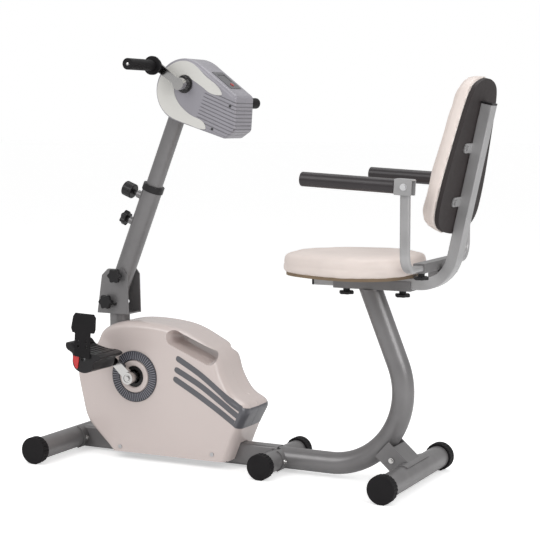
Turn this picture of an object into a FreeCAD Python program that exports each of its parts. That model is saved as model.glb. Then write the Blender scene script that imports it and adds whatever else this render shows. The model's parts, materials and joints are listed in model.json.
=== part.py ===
"""Recumbent exercise bike with a lower pedal crank and an upper hand crank.

Millimetres. X runs from the front foot to the seat, Y to the far side, Z up.
The origin is on the floor, on the middle plane, halfway along the bike.
"""
import FreeCAD, Part
import math
import os
from FreeCAD import Placement, Rotation, Vector

# ---- driving dimensions ----------------------------------------------------
FOOT_R = 37.0                 # rubber end cap of the front and rear feet
MID_FOOT_R = 34.4             # end cap of the middle foot
FRONT_X, MIDDLE_X, REAR_X = -593.0, 42.0, 421.0
FRONT_HALF, MIDDLE_HALF, REAR_HALF = 246.0, 131.0, 216.0
FOOT_TUBE_R, MID_TUBE_R = 30.0, 27.5
CAP_DEPTH = 28.0
FOOT_Z = FOOT_R               # axis height of the front and rear feet
MID_Z = MID_FOOT_R

WALL = 2.0
RAIL_W, RAIL_H = 40.0, 60.0   # floor rail between the front and middle feet
RAIL_TOP = FOOT_Z + RAIL_H / 2

CRANK_X, CRANK_Z = -369.0, 235.0
CRANK_THROW = 95.0
CRANK_ANGLE = 137.8           # near arm, from +X towards +Z
PEDAL_END = 222.0             # outer end of the pedal, from the middle plane

POST_X, POST_R = -463.0, 28.0
PIVOT_X, PIVOT_Z = -448.0, 507.0
MAST_LEAN = 21.9              # mast from the vertical, towards the rider
MAST_R, SLIDER_R = 27.5, 23.0
MAST_TAIL, MAST_TOP = -90.0, 256.0
SLIDER_FOOT, SLIDER_TOP = 96.0, 560.0
PIN_S, CLAMP_S = 229.0, 151.0     # height pin and clamp, along the mast
SLIDE_UP, SLIDE_DOWN = 50.0, 75.0
HAND_P, HAND_S = 17.0, 574.0      # hand-crank axle, across and along the mast
HAND_THROW = 85.0
HAND_ANGLE = 145.1            # near arm, from +X towards +Z
GRIP_END = 225.0
HEAD_HALF = 52.0

SHELL_HALF, SHELL_WALL = 75.0, 3.0

SEAT_TUBE_R = 29.0
SEAT_BEND_R, SEAT_BEND_X = 202.0, 192.0
SEAT_BEND_TURN = 112.0
CHANNEL_Z = 505.5             # underside of the seat channel
LEG_BOTTOM, LEG_H, LEG_W = 510.0, 30.0, 40.0
LEG_FRONT, LEG_BEND_X, LEG_BEND_R = 150.0, 441.0, 90.0
BACK_LEAN = 12.3              # back tube from the vertical
BACK_RUN = 388.0              # straight length of the back tube
PAD_Z, PAD_H = 549.8, 50.0
BACK_PAD_T = 38.0

ARM_X, ARM_Y, ARM_SLEEVE_Z = 480.0, 216.0, 576.0
ARM_HINGE_X, ARM_HINGE_Z = 480.0, 779.0
ARM_FRONT, ARM_SLOPE = 210.0, 3.0
ARM_KNOB_X, ARM_KNOB_Y = 484.0, 105.0

FLY_X, FLY_Z, FLY_R = -186.0, 160.0, 82.0
PULLEY_R, FLY_PULLEY_R = 88.0, 22.0
BELT_Y = 52.0
RUN = 0.05                    # radial clearance of a running fit
GAP = 0.3                     # clearance between parts that only lie close

X_AXIS, Y_AXIS, Z_AXIS = Vector(1, 0, 0), Vector(0, 1, 0), Vector(0, 0, 1)


# ---- shape helpers ---------------------------------------------------------
def cylinder(radius, length, start, along=Z_AXIS):
    """A round bar that starts at a point and runs along a direction."""
    return Part.makeCylinder(radius, length, Vector(*start), Vector(along))


def bar_y(radius, y0, y1, x, z):
    """A round bar across the bike."""
    return cylinder(radius, y1 - y0, (x, y0, z), Y_AXIS)


def ring_y(outer, inner, y0, y1, x, z):
    """A round sleeve across the bike."""
    return bar_y(outer, y0, y1, x, z).cut(bar_y(inner, y0 - 1, y1 + 1, x, z))


def block(x0, x1, y0, y1, z0, z1):
    """A box given by its two ends on each axis."""
    return Part.makeBox(x1 - x0, y1 - y0, z1 - z0, Vector(x0, y0, z0))


def along_edges(shape, direction):
    """The straight edges of a shape that run along a direction."""
    found = []
    for edge in shape.Edges:
        if edge.Curve.TypeId != "Part::GeomLine":
            continue
        if abs(edge.Curve.Direction.dot(direction)) > 0.999:
            found.append(edge)
    return found


def rounded_block(x0, x1, y0, y1, z0, z1, radius, direction):
    """A box whose four edges along one direction are rounded."""
    solid = block(x0, x1, y0, y1, z0, z1)
    return solid.makeFillet(radius, along_edges(solid, direction))


def outline(points, y=0.0):
    """A closed straight-sided outline in the XZ plane, as a wire."""
    corners = [Vector(x, y, z) for x, z in points]
    return Part.makePolygon(corners + corners[:1])


def smooth_outline(points, y=0.0):
    """A closed smooth outline through points in the XZ plane, as a wire."""
    curve = Part.BSplineCurve()
    curve.interpolate(Points=[Vector(x, y, z) for x, z in points], PeriodicFlag=True)
    return Part.Wire([curve.toShape()])


def inset_points(points, distance, closed=True):
    """Outline points moved inward; the outline runs clockwise, or is given open."""
    moved = []
    last = len(points) - 1
    for place, (a, b) in enumerate(points):
        before = points[place - 1] if place > 0 or closed else points[0]
        after = points[(place + 1) % len(points)] if place < last or closed else points[last]
        da, db = after[0] - before[0], after[1] - before[1]
        length = math.hypot(da, db)
        moved.append((a + distance * db / length, b - distance * da / length))
    return moved


def plate_y(wire, thickness):
    """A plate: an XZ outline carried along +Y."""
    return Part.Face(wire).extrude(Vector(0, thickness, 0))


def fused(parts):
    """Welded pieces as one solid."""
    solid = parts[0].fuse(parts[1:])
    return solid.removeSplitter()


def mirrored(shape):
    """The same piece on the other side of the middle plane."""
    return shape.mirror(Vector(0, 0, 0), Y_AXIS)


def turned(shape, degrees, x, z):
    """A copy turned about a cross axis; positive lifts +X towards +Z."""
    copy = shape.copy()
    copy.rotate(Vector(x, 0, z), Y_AXIS, -degrees)
    return copy


def swept(path, profile):
    """A bar with a constant section along a line-and-arc path."""
    return Part.Wire(path).makePipeShell([profile], True, False)


def export(name, shape):
    """Write one node."""
    shape.exportStep("parts/" + name + ".step")


def on_mast(shape):
    """Place a piece drawn with the mast upright and its pivot at the origin."""
    place = Placement(Vector(PIVOT_X, 0, PIVOT_Z), Rotation(Y_AXIS, MAST_LEAN))
    placed = shape.copy()
    placed.Placement = place.multiply(placed.Placement)
    return placed


def star_knob(radius, depth, stud_r, stud_length, lobes=6):
    """A lobed clamp knob: hub and stud on +Z, the stud runs to -Z."""
    count = lobes * 4
    points = []
    for step in range(count):
        angle = 2 * math.pi * step / count
        reach = radius * (0.9 + 0.1 * math.cos(lobes * angle))
        points.append(Vector(reach * math.cos(angle), reach * math.sin(angle), 8))
    curve = Part.BSplineCurve()
    curve.interpolate(Points=points, PeriodicFlag=True)
    rim = Part.Face(Part.Wire([curve.toShape()])).extrude(Vector(0, 0, depth - 8))
    rim = rim.makeFillet(2.5, rim.Edges)
    hub = cylinder(radius * 0.45, 10, (0, 0, 0))
    stud = cylinder(stud_r, stud_length + 4, (0, 0, -stud_length))
    return fused([rim, hub, stud])


def placed(shape, at, direction):
    """Put a piece drawn on +Z at a point, pointing along a direction."""
    copy = shape.copy()
    copy.Placement = Placement(Vector(*at), Rotation(Z_AXIS, Vector(*direction)))
    return copy


# ---- feet and floor rail ---------------------------------------------------
FEET = [
    (FRONT_X, FOOT_Z, FOOT_TUBE_R, FRONT_HALF, FOOT_R),
    (MIDDLE_X, MID_Z, MID_TUBE_R, MIDDLE_HALF, MID_FOOT_R),
    (REAR_X, FOOT_Z, FOOT_TUBE_R, REAR_HALF, FOOT_R),
]


def foot_tubes():
    """The three cross tubes that the bike stands on."""
    tubes = []
    for x, z, radius, half, _ in FEET:
        end = half - 4.0
        tubes.append(ring_y(radius, radius - WALL, -end, end, x, z))
    return Part.makeCompound(tubes)


def end_caps():
    """Ribbed rubber cups over the six tube ends, each with a flat to stand on."""
    caps = []
    for x, z, radius, half, cap_r in FEET:
        cup = bar_y(cap_r, half - CAP_DEPTH, half, x, z)
        cup = cup.makeFillet(3.0, [cup.Edges[0], cup.Edges[2]])
        for step in range(24):
            angle = math.radians(15 * step + 7.5)
            groove = bar_y(2.6, half - CAP_DEPTH - 1, half - 5,
                           x + (cap_r + 0.6) * math.cos(angle), z + (cap_r + 0.6) * math.sin(angle))
            cup = cup.cut(groove)
        cup = cup.cut(bar_y(radius + 0.1, half - CAP_DEPTH - 1, half - 3.8, x, z))
        foot = block(x - 9, x + 9, half - CAP_DEPTH + 2, half - 3, 0, 4)
        cup = cup.fuse(foot.cut(bar_y(cap_r - 2, 0, half, x, z))).removeSplitter()
        caps += [cup, mirrored(cup)]
    return Part.makeCompound(caps)


def saddle(x, z, tube_r, half, start, stop):
    """A curved plate that hugs a foot tube between two angles."""
    inner = tube_r + 0.2
    plate = ring_y(inner + 3.0, inner, -half, half, x, z)
    reach = 3 * tube_r
    fan = [(x, z)]
    for part in range(5):
        angle = math.radians(start + (stop - start) * part / 4)
        fan.append((x + reach * math.cos(angle), z + reach * math.sin(angle)))
    return plate.common(plate_y(outline(fan, -half), 2 * half))


def main_rail():
    """Rectangular floor rail with a saddle plate at each end."""
    half_w = RAIL_W / 2
    z0, z1 = FOOT_Z - RAIL_H / 2, RAIL_TOP
    outer = rounded_block(FRONT_X, MIDDLE_X, -half_w, half_w, z0, z1, 6.0, X_AXIS)
    inner = block(FRONT_X - 1, MIDDLE_X + 1, -half_w + WALL, half_w - WALL, z0 + WALL, z1 - WALL)
    rail = outer.cut(inner)
    rail = rail.cut(bar_y(FOOT_TUBE_R + 0.2, -40, 40, FRONT_X, FOOT_Z))
    rail = rail.cut(bar_y(MID_TUBE_R + 0.2, -40, 40, MIDDLE_X, MID_Z))
    rail = rail.cut(block(FRONT_X - 40, FRONT_X, -40, 40, 0, 90))
    front = saddle(FRONT_X, FOOT_Z, FOOT_TUBE_R, 42.0, -75, 75)
    rear = saddle(MIDDLE_X, MID_Z, MID_TUBE_R, 30.0, 110, 250)
    return fused([rail, front, rear])


def foot_bolts():
    """Carriage bolts through the saddles, all alike, two on each joint."""
    spots = [(FRONT_X, FOOT_Z, FOOT_TUBE_R, 33.0, 0.0)]
    spots += [(MIDDLE_X, MID_Z, MID_TUBE_R, 36.5, 0.0)]
    bolts = []
    for x, z, tube_r, y, angle in spots:
        for side in (-1, 1):
            seat = tube_r + 3.4
            direction = Vector(math.cos(math.radians(angle)), 0, math.sin(math.radians(angle)))
            base = Vector(x, side * y, z) + direction * seat
            head = cylinder(6.5, 4.0, tuple(base), direction)
            nut = cylinder(3.8, 7.5, tuple(base), direction)
            bolts.append(head.fuse(nut))
    for side in (-1, 1):
        centre = bracket_point(252.0, -2.0)
        start = Vector(centre.x, side * 40.3, centre.z)
        head = cylinder(7.0, 4.5, tuple(start), Vector(0, side, 0))
        tip = cylinder(4.0, 8.0, tuple(start), Vector(0, side, 0))
        bolts.append(head.fuse(tip))
    return Part.makeCompound(bolts)


# ---- seat post, rear bracket, channel --------------------------------------
def seat_post_path(offset_start=0.0):
    """Centreline: along the floor, one long bend, then up and forward to the seat."""
    z = FOOT_Z
    centre = Vector(SEAT_BEND_X, 0, z + SEAT_BEND_R)
    lean = math.radians(SEAT_BEND_TURN - 90)

    def on_arc(turn):
        angle = math.radians(turn - 90)
        return centre + Vector(math.cos(angle), 0, math.sin(angle)) * SEAT_BEND_R

    start = Vector(MIDDLE_X + offset_start, 0, z)
    low, middle, high = on_arc(0), on_arc(SEAT_BEND_TURN / 2), on_arc(SEAT_BEND_TURN)
    rise = (CHANNEL_Z + 12 - high.z) / math.cos(lean)
    top = high + Vector(-math.sin(lean), 0, math.cos(lean)) * rise
    return [Part.LineSegment(start, low).toShape(), Part.Arc(low, middle, high).toShape(),
            Part.LineSegment(high, top).toShape()]


def seat_post_bar(radius):
    """The bent post as a solid bar of one radius."""
    profile = Part.Wire([Part.Circle(Vector(MIDDLE_X, 0, FOOT_Z), X_AXIS, radius).toShape()])
    return swept(seat_post_path(), profile)


def seat_post_tube():
    """Bent round tube with a saddle plate on the middle foot."""
    tube = seat_post_bar(SEAT_TUBE_R).cut(seat_post_bar(SEAT_TUBE_R - WALL))
    tube = tube.cut(bar_y(MID_TUBE_R + 1.7, -60, 60, MIDDLE_X, MID_Z))
    tube = tube.cut(block(MIDDLE_X - 60, MIDDLE_X, -60, 60, -10, 90))
    tube = tube.cut(block(0, 600, -60, 60, CHANNEL_Z - 0.2, 700))
    hug = saddle(MIDDLE_X, MID_Z, MID_TUBE_R, 42.0, -70, 70)
    return tube.fuse(hug)


def bracket_axes():
    """Directions along and across the rear bracket, from the bend's centre to the foot."""
    along = Vector(REAR_X - SEAT_BEND_X, 0, FOOT_Z - (FOOT_Z + SEAT_BEND_R))
    along.normalize()
    return along, Vector(-along.z, 0, along.x)


def bracket_point(reach, side):
    """A point at a distance from the bend's centre, and to one side of the bracket's axis."""
    along, across = bracket_axes()
    return Vector(SEAT_BEND_X, 0, FOOT_Z + SEAT_BEND_R) + along * reach + across * side


def rear_bracket():
    """Box of four plates that carries the rear foot, with a half-round cover on its tube."""
    half = 27.0

    def box_bar(low, high, half_width, half_y):
        corners = [bracket_point(low, -half_width), bracket_point(high, -half_width),
                   bracket_point(high, half_width), bracket_point(low, half_width)]
        wire = outline([(c.x, c.z) for c in corners], -half_y)
        return plate_y(wire, 2 * half_y)

    box = box_bar(214, 298, half, 40.0).cut(box_bar(190, 320, half - 4, 36.0))
    box = box.cut(seat_post_bar(SEAT_TUBE_R + 0.2))
    box = box.cut(box_bar(190, 232, half + 5, 35.9))
    angle = math.degrees(math.atan2(bracket_axes()[0].z, bracket_axes()[0].x)) + 180
    cover = saddle(REAR_X, FOOT_Z, FOOT_TUBE_R, 75.0, angle - 80, angle + 80)
    box = box.cut(bar_y(FOOT_TUBE_R + 0.2, -80, 80, REAR_X, FOOT_Z))
    return fused([box, cover])


def seat_channel():
    """U-shaped channel on the post that the seat frame slides in, with two clamp holes."""
    x0, x1 = 206.0, 420.0
    half = LEG_W / 2 + GAP
    channel = block(x0, x1, -half - 3, half + 3, CHANNEL_Z, LEG_BOTTOM + 20)
    channel = channel.cut(block(x0 - 1, x1 + 1, -half, half, LEG_BOTTOM - GAP, LEG_BOTTOM + 30))
    for x in KNOB_X:
        channel = channel.cut(cylinder(5.0 + RUN, 20, (x, 0, CHANNEL_Z - 5)))
    return channel


KNOB_X = (234.0, 390.0)       # the two clamp knobs under the seat


# ---- drive housing ---------------------------------------------------------
SHELL_OUTLINE = [
    (-564, 236), (-557, 264), (-536, 289), (-511, 308), (-494, 330), (-484, 350), (-462, 368),
    (-419, 382), (-376, 386), (-310, 384), (-230, 370), (-166, 341), (-132, 321), (-115, 300),
    (-104, 266), (-86, 228), (-56, 196), (-30, 180), (-24, 166), (-31, 146), (-54, 100),
    (-72, 56), (-86, 22), (-448, 20), (-478, 44), (-510, 74), (-531, 99), (-548, 150), (-558, 193),
]
BOTTOM_EDGE = 22              # place in the outline where the straight bottom starts


def shell_wire(inset, y):
    """Side outline of the housing: one smooth curve and a straight bottom that stays level."""
    ordered = SHELL_OUTLINE[BOTTOM_EDGE + 1:] + SHELL_OUTLINE[:BOTTOM_EDGE + 1]
    moved = inset_points(ordered, inset, closed=False)
    moved[0] = (moved[0][0], ordered[0][1])
    moved[-1] = (moved[-1][0], ordered[-1][1])
    points = [Vector(x, y, z) for x, z in moved]
    curve = Part.BSplineCurve()
    curve.interpolate(Points=points)
    bottom = Part.LineSegment(points[-1], points[0])
    return Part.Wire([curve.toShape(), bottom.toShape()])


SHELL_ROUND_Y = 30.0          # how far in from the side face the rounding starts
SHELL_ROUND, SHELL_ROUND_IN = 17.0, 15.0   # how far it pulls the outline in, outside and inside


def shell_body(inset, rounding, y_end):
    """Half of the housing's volume, with its side edge rounded off as a quarter ellipse."""
    straight = SHELL_HALF - SHELL_ROUND_Y - inset
    sections = [shell_wire(inset, y_end), shell_wire(inset, -straight)]
    for step in range(1, 5):
        angle = math.radians(90 * step / 4)
        y = -straight - SHELL_ROUND_Y * math.sin(angle)
        sections.append(shell_wire(inset + rounding * (1 - math.cos(angle)), y))
    side = Part.makeLoft(sections[1:], True, False)
    return side.fuse(Part.makeLoft(sections[:2], True, True))


# The carry slot flares from a narrow slot on the middle plane to a wide one on each side.
SLOT_SIDE = [(-246, 350), (-134, 304), 22.0]
SLOT_MIDDLE = [(-244, 346), (-146, 304), 13.0]


def slot_wire(ends, y):
    """A round-ended slot between two centres, in the XZ plane."""
    (xa, za), (xb, zb), radius = ends
    length = math.hypot(xb - xa, zb - za)
    along_x, along_z = (xb - xa) / length, (zb - za) / length

    def point(x, z, forward, up):
        return Vector(x + radius * (forward * along_x - up * along_z), y,
                      z + radius * (forward * along_z + up * along_x))

    return Part.Wire([
        Part.LineSegment(point(xa, za, 0, 1), point(xb, zb, 0, 1)).toShape(),
        Part.Arc(point(xb, zb, 0, 1), point(xb, zb, 1, 0), point(xb, zb, 0, -1)).toShape(),
        Part.LineSegment(point(xb, zb, 0, -1), point(xa, za, 0, -1)).toShape(),
        Part.Arc(point(xa, za, 0, -1), point(xa, za, -1, 0), point(xa, za, 0, 1)).toShape()])


def slot_flare(wall):
    """The near half of the carry slot's space, grown by a wall."""
    middle = SLOT_MIDDLE[:2] + [SLOT_MIDDLE[2] + wall]
    side = SLOT_SIDE[:2] + [SLOT_SIDE[2] + wall]
    reach = -SHELL_HALF - (0 if wall else 2)
    return Part.makeLoft([slot_wire(middle, -0.1 if wall else 0.5), slot_wire(side, reach)], True, True)


def shell_half():
    """Near half of the moulded housing: open at the foot, with the carry slot's flared tunnel."""
    outer = shell_body(0.0, SHELL_ROUND, -0.1)
    inner = shell_body(SHELL_WALL, SHELL_ROUND_IN, 5.0)
    inner = inner.fuse(block(-447, -88, -SHELL_HALF + 12, 10, 0, 40))
    half = outer.cut(inner)
    tunnel = slot_flare(SHELL_WALL).cut(slot_flare(0.0)).common(inner)
    half = half.cut(slot_flare(0.0)).fuse(tunnel)
    half = half.cut(bar_y(26.0, -SHELL_HALF - 5, -50, CRANK_X, CRANK_Z))
    half = half.cut(cylinder(POST_R + 1.5, 500, (POST_X, 0, 60)))
    half = half.cut(block(-700, 100, -RAIL_W / 2 - 1.5, 10, 0, RAIL_TOP + 1.5))
    for x, z in SHELL_SCREWS:
        half = half.cut(bar_y(3.2, -SHELL_HALF - 5, -SHELL_HALF + 30, x, z))
    return half.removeSplitter()


SHELL_SCREWS = [(-418, 34), (-126, 41)]


def shell_screws():
    """Pan-head screws, two on each side of the housing."""
    screws = []
    for x, z in SHELL_SCREWS:
        head = bar_y(5.5, -SHELL_HALF - 2.4, -SHELL_HALF - 0.2, x, z)
        shank = bar_y(2.4, -SHELL_HALF - 1, -SHELL_HALF + 18, x, z)
        screw = head.fuse(shank).cut(block(x - 4, x + 4, -SHELL_HALF - 3, -SHELL_HALF - 1.6, z - 0.6, z + 0.6))
        screws += [screw, mirrored(screw)]
    return Part.makeCompound(screws)


def hub_covers():
    """Round covers about the crank: a ribbed ring with a raised collar inside it."""
    disc = ring_y(71.0, 19.0, -SHELL_HALF - 4.2, -SHELL_HALF - 0.2, CRANK_X, CRANK_Z)
    collar = ring_y(44.0, 29.0, -SHELL_HALF - 6.5, -SHELL_HALF - 3, CRANK_X, CRANK_Z)
    cover = fused([disc, collar])
    return Part.makeCompound([cover, mirrored(cover)])


# ---- drive inside the housing ----------------------------------------------
BB_HALF = 33.0


def bottom_bracket():
    """Bearing tube for the crank on a strut from the rail."""
    tube = bar_y(22.0, -BB_HALF, BB_HALF, CRANK_X, CRANK_Z)
    strut = block(CRANK_X - 18, CRANK_X + 18, -14, 14, RAIL_TOP + 0.2, CRANK_Z)
    strut = strut.cut(block(CRANK_X - 16, CRANK_X + 16, -12, 12, RAIL_TOP + 2, CRANK_Z - 15))
    solid = fused([tube, strut])
    return solid.cut(bar_y(18.0, -BB_HALF - 1, BB_HALF + 1, CRANK_X, CRANK_Z))


def bottom_bracket_bearings():
    """Two ball bearings, each drawn as one ring."""
    rings = []
    for side in (-1, 1):
        y0 = side * BB_HALF - (10 if side > 0 else 0)
        rings.append(ring_y(17.98, 8.5 + RUN, y0, y0 + 10, CRANK_X, CRANK_Z))
    return Part.makeCompound(rings)


def drive_pulley():
    """Large belt pulley on the crank: rim, web with holes, hub."""
    y0, y1 = BELT_Y - 7, BELT_Y + 7
    pulley = ring_y(PULLEY_R + 3, PULLEY_R - 8, y0, y1, CRANK_X, CRANK_Z)
    web = ring_y(PULLEY_R - 7, 10, BELT_Y - 2, BELT_Y + 2, CRANK_X, CRANK_Z)
    hub = ring_y(20, 8.5 + 0.02, y0 - 4, y1 + 2, CRANK_X, CRANK_Z)
    pulley = fused([pulley, web, hub])
    groove = ring_y(PULLEY_R + 5, PULLEY_R, y0 + 1.5, y1 - 1.5, CRANK_X, CRANK_Z)
    pulley = pulley.cut(groove)
    for step in range(6):
        angle = math.radians(60 * step)
        pulley = pulley.cut(bar_y(15, 40, 65, CRANK_X + 50 * math.cos(angle), CRANK_Z + 50 * math.sin(angle)))
    return pulley


def crank_axle():
    """Plain steel axle through the bearings, with a collar at each inner race."""
    axle = bar_y(8.5, -112, 112, CRANK_X, CRANK_Z)
    collar = bar_y(12, BB_HALF - 14, BB_HALF - 10.3, CRANK_X, CRANK_Z)
    return fused([axle, collar, mirrored(collar)])


def crank_spot(angle, throw=CRANK_THROW):
    """Place of a pedal spindle, in X and Z, for a crank angle."""
    turn = math.radians(angle)
    return CRANK_X + throw * math.cos(turn), CRANK_Z + throw * math.sin(turn)


def arm_plate(x, z, throw, wide, narrow, y0, y1):
    """A tapered crank arm drawn along +X from a centre."""
    hub = bar_y(wide, y0, y1, x, z)
    eye = bar_y(narrow, y0, y1, x + throw, z)
    web = plate_y(outline([(x, z - wide * 0.8), (x + throw, z - narrow * 0.95),
                           (x + throw, z + narrow * 0.95), (x, z + wide * 0.8)], y0), y1 - y0)
    return fused([hub, eye, web])


def crank_arms():
    """Left and right arms, half a turn apart, with the boss proud on the outside."""
    arm = arm_plate(CRANK_X, CRANK_Z, CRANK_THROW, 17.0, 12.0, -106, -94)
    boss = bar_y(17.0, -115, -88, CRANK_X, CRANK_Z)
    arm = fused([arm, boss]).cut(bar_y(8.52, -113, 0, CRANK_X, CRANK_Z))
    arm = arm.cut(bar_y(11.0, -116, -112, CRANK_X, CRANK_Z))
    arm = arm.cut(bar_y(7.0, -120, -90, CRANK_X + CRANK_THROW, CRANK_Z))
    near = turned(arm, CRANK_ANGLE, CRANK_X, CRANK_Z)
    far = turned(mirrored(arm), CRANK_ANGLE + 180, CRANK_X, CRANK_Z)
    return Part.makeCompound([near, far])


def crank_nuts():
    """Flange nuts that hold the arms on the axle."""
    nuts = []
    for side in (-1, 1):
        start = Vector(CRANK_X, side * 112.2, CRANK_Z)
        flange = cylinder(10.0, 1.6, tuple(start), Vector(0, side, 0))
        corners = []
        for step in range(7):
            angle = math.radians(60 * step)
            corners.append(start + Vector(7.5 * math.cos(angle), 0, 7.5 * math.sin(angle)))
        head = Part.Face(Part.makePolygon(corners)).extrude(Vector(0, side * 6.0, 0))
        nuts.append(fused([flange, head]))
    return Part.makeCompound(nuts)


def pedal_spindles():
    """Two threaded spindles screwed into the arm ends."""
    spindles = []
    for side, angle in ((-1, CRANK_ANGLE), (1, CRANK_ANGLE + 180)):
        x, z = crank_spot(angle)
        thread = cylinder(6.98, 12, (x, side * 94, z), Vector(0, side, 0))
        flange = cylinder(10.0, 5, (x, side * 106.2, z), Vector(0, side, 0))
        shaft = cylinder(6.5, 104, (x, side * 110, z), Vector(0, side, 0))
        link = cylinder(6.5, 20, (x, side * 96, z), Vector(0, side, 0))
        spindles.append(fused([thread, link, flange, shaft]))
    return Part.makeCompound(spindles)


PEDAL_SHAPE = [(-60, 30), (-52, 15), (-36, 8), (-32, -12), (-22, -30), (-4, -37), (18, -34), (32, -22),
               (35, -2), (46, 6), (56, 16), (44, 21), (20, 19), (-10, 19), (-36, 25), (-52, 35)]
PEDAL_TILT = 9.0              # the wing side stands higher than the heel side
LENS_SHAPE = [(-30, 4), (-12, 4), (-12, -30), (-21, -26), (-28, -12)]


def pedal(side, angle):
    """Pedal body with a weighted belly, and its end reflector as a second solid."""
    x, z = crank_spot(angle)
    points = [(x + px, z + pz) for px, pz in PEDAL_SHAPE]
    inner_y, outer_y = 116.0, PEDAL_END
    start = inner_y if side > 0 else -outer_y
    body = plate_y(smooth_outline(points, start), outer_y - inner_y)
    body = body.cut(cylinder(6.5 + RUN, 140, (x, side * 100, z), Vector(0, side, 0)))
    low, high = sorted((side * 122, side * 216))
    for step in range(7):
        groove_x = x - 36 + 12 * step
        body = body.cut(block(groove_x - 2.2, groove_x + 2.2, low, high, z + 16, z + 40))
    low, high = sorted((side * (PEDAL_END + 0.2), side * (PEDAL_END + 2.2)))
    lens = plate_y(outline([(x + px, z + pz) for px, pz in LENS_SHAPE], low), high - low)
    lens = lens.makeFillet(2.5, along_edges(lens, Y_AXIS))
    return turned(Part.makeCompound([body, lens]), -PEDAL_TILT, x, z)


def pedal_strap(side, angle):
    """Rubber toe strap that stands up from the pedal's outer side, with four holes."""
    x, z = crank_spot(angle)
    y0 = side * (PEDAL_END + 0.3)
    y1 = side * (PEDAL_END + 4.3)
    low, high = min(y0, y1), max(y0, y1)
    neck = [(x - 26, z + 8), (x + 24, z + 2), (x + 26, z + 74), (x - 22, z + 74)]
    flap = [(x - 30, z + 72), (x + 38, z + 72), (x + 42, z + 82), (x + 44, z + 114), (x + 38, z + 123),
            (x - 20, z + 125), (x - 27, z + 116), (x - 34, z + 84)]
    strap = fused([plate_y(outline(neck, low), high - low), plate_y(outline(flap, low), high - low)])
    strap = strap.makeFillet(3.0, along_edges(strap, Y_AXIS)[:4])
    for hole_x in (x - 12, x + 14):
        for hole_z in (z + 34, z + 48):
            strap = strap.cut(bar_y(4.0, low - 1, high + 1, hole_x, hole_z))
    return strap


FLY_SIDE_FAR, FLY_SIDE_NEAR = 63.0, -26.0


def flywheel_mount():
    """Fixed axle between two cheeks on a base plate, with the brake arm's pin."""
    base = block(FLY_X - 30, BRAKE_X + 14, FLY_SIDE_NEAR - 4, FLY_SIDE_FAR + 4, RAIL_TOP + 0.2, RAIL_TOP + 4.2)
    parts = [base, bar_y(6.0, FLY_SIDE_NEAR - 4, FLY_SIDE_FAR + 4, FLY_X, FLY_Z)]
    for y in (FLY_SIDE_NEAR - 4, FLY_SIDE_FAR):
        cheek = [(FLY_X - 28, RAIL_TOP + 1), (FLY_X + 28, RAIL_TOP + 1), (FLY_X + 14, FLY_Z + 12),
                 (FLY_X - 14, FLY_Z + 12)]
        parts.append(plate_y(outline(cheek, y), 4.0))
    for y in (-22.0, 18.0):
        lug = [(BRAKE_X - 12, RAIL_TOP + 1), (BRAKE_X + 12, RAIL_TOP + 1), (BRAKE_X + 8, BRAKE_Z + 8),
               (BRAKE_X - 8, BRAKE_Z + 8)]
        parts.append(plate_y(outline(lug, y), 4.0))
    parts.append(bar_y(4.0, -22, 22, BRAKE_X, BRAKE_Z))
    return fused(parts)


BRAKE_X, BRAKE_Z = FLY_X + 92.0, 92.0


def flywheel():
    """Cast flywheel, its hub sleeve and the small belt pulley in one piece."""
    rim = ring_y(FLY_R, FLY_R - 22, -12, 12, FLY_X, FLY_Z)
    web = ring_y(FLY_R - 21, 12, -5, 5, FLY_X, FLY_Z)
    hub = bar_y(15, -20, FLY_SIDE_FAR - 2, FLY_X, FLY_Z)
    flange = bar_y(FLY_PULLEY_R + 3, BELT_Y - 7, BELT_Y + 7, FLY_X, FLY_Z)
    wheel = fused([rim, web, hub, flange])
    wheel = wheel.cut(ring_y(FLY_PULLEY_R + 5, FLY_PULLEY_R, BELT_Y - 5.5, BELT_Y + 5.5, FLY_X, FLY_Z))
    return wheel.cut(bar_y(6.0 + RUN, -40, 80, FLY_X, FLY_Z))


def belt_loop(extra, y0, y1):
    """Solid shape that an open belt encloses about both pulleys."""
    big, small = PULLEY_R + extra, FLY_PULLEY_R + extra
    dx, dz = FLY_X - CRANK_X, FLY_Z - CRANK_Z
    distance = math.hypot(dx, dz)
    bearing = math.atan2(dz, dx)
    spread = math.acos((big - small) / distance)
    corners = []
    for x, z, radius, turn in ((CRANK_X, CRANK_Z, big, spread), (FLY_X, FLY_Z, small, spread),
                               (FLY_X, FLY_Z, small, -spread), (CRANK_X, CRANK_Z, big, -spread)):
        angle = bearing + turn
        corners.append((x + radius * math.cos(angle), z + radius * math.sin(angle)))
    span = plate_y(outline(corners, y0), y1 - y0)
    return fused([span, bar_y(big, y0, y1, CRANK_X, CRANK_Z), bar_y(small, y0, y1, FLY_X, FLY_Z)])


def drive_belt():
    """Open belt about the two pulleys, clear of both by a hair."""
    y0, y1 = BELT_Y - 4.5, BELT_Y + 4.5
    return belt_loop(2.4, y0, y1).cut(belt_loop(0.4, y0 - 1, y1 + 1))


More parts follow.
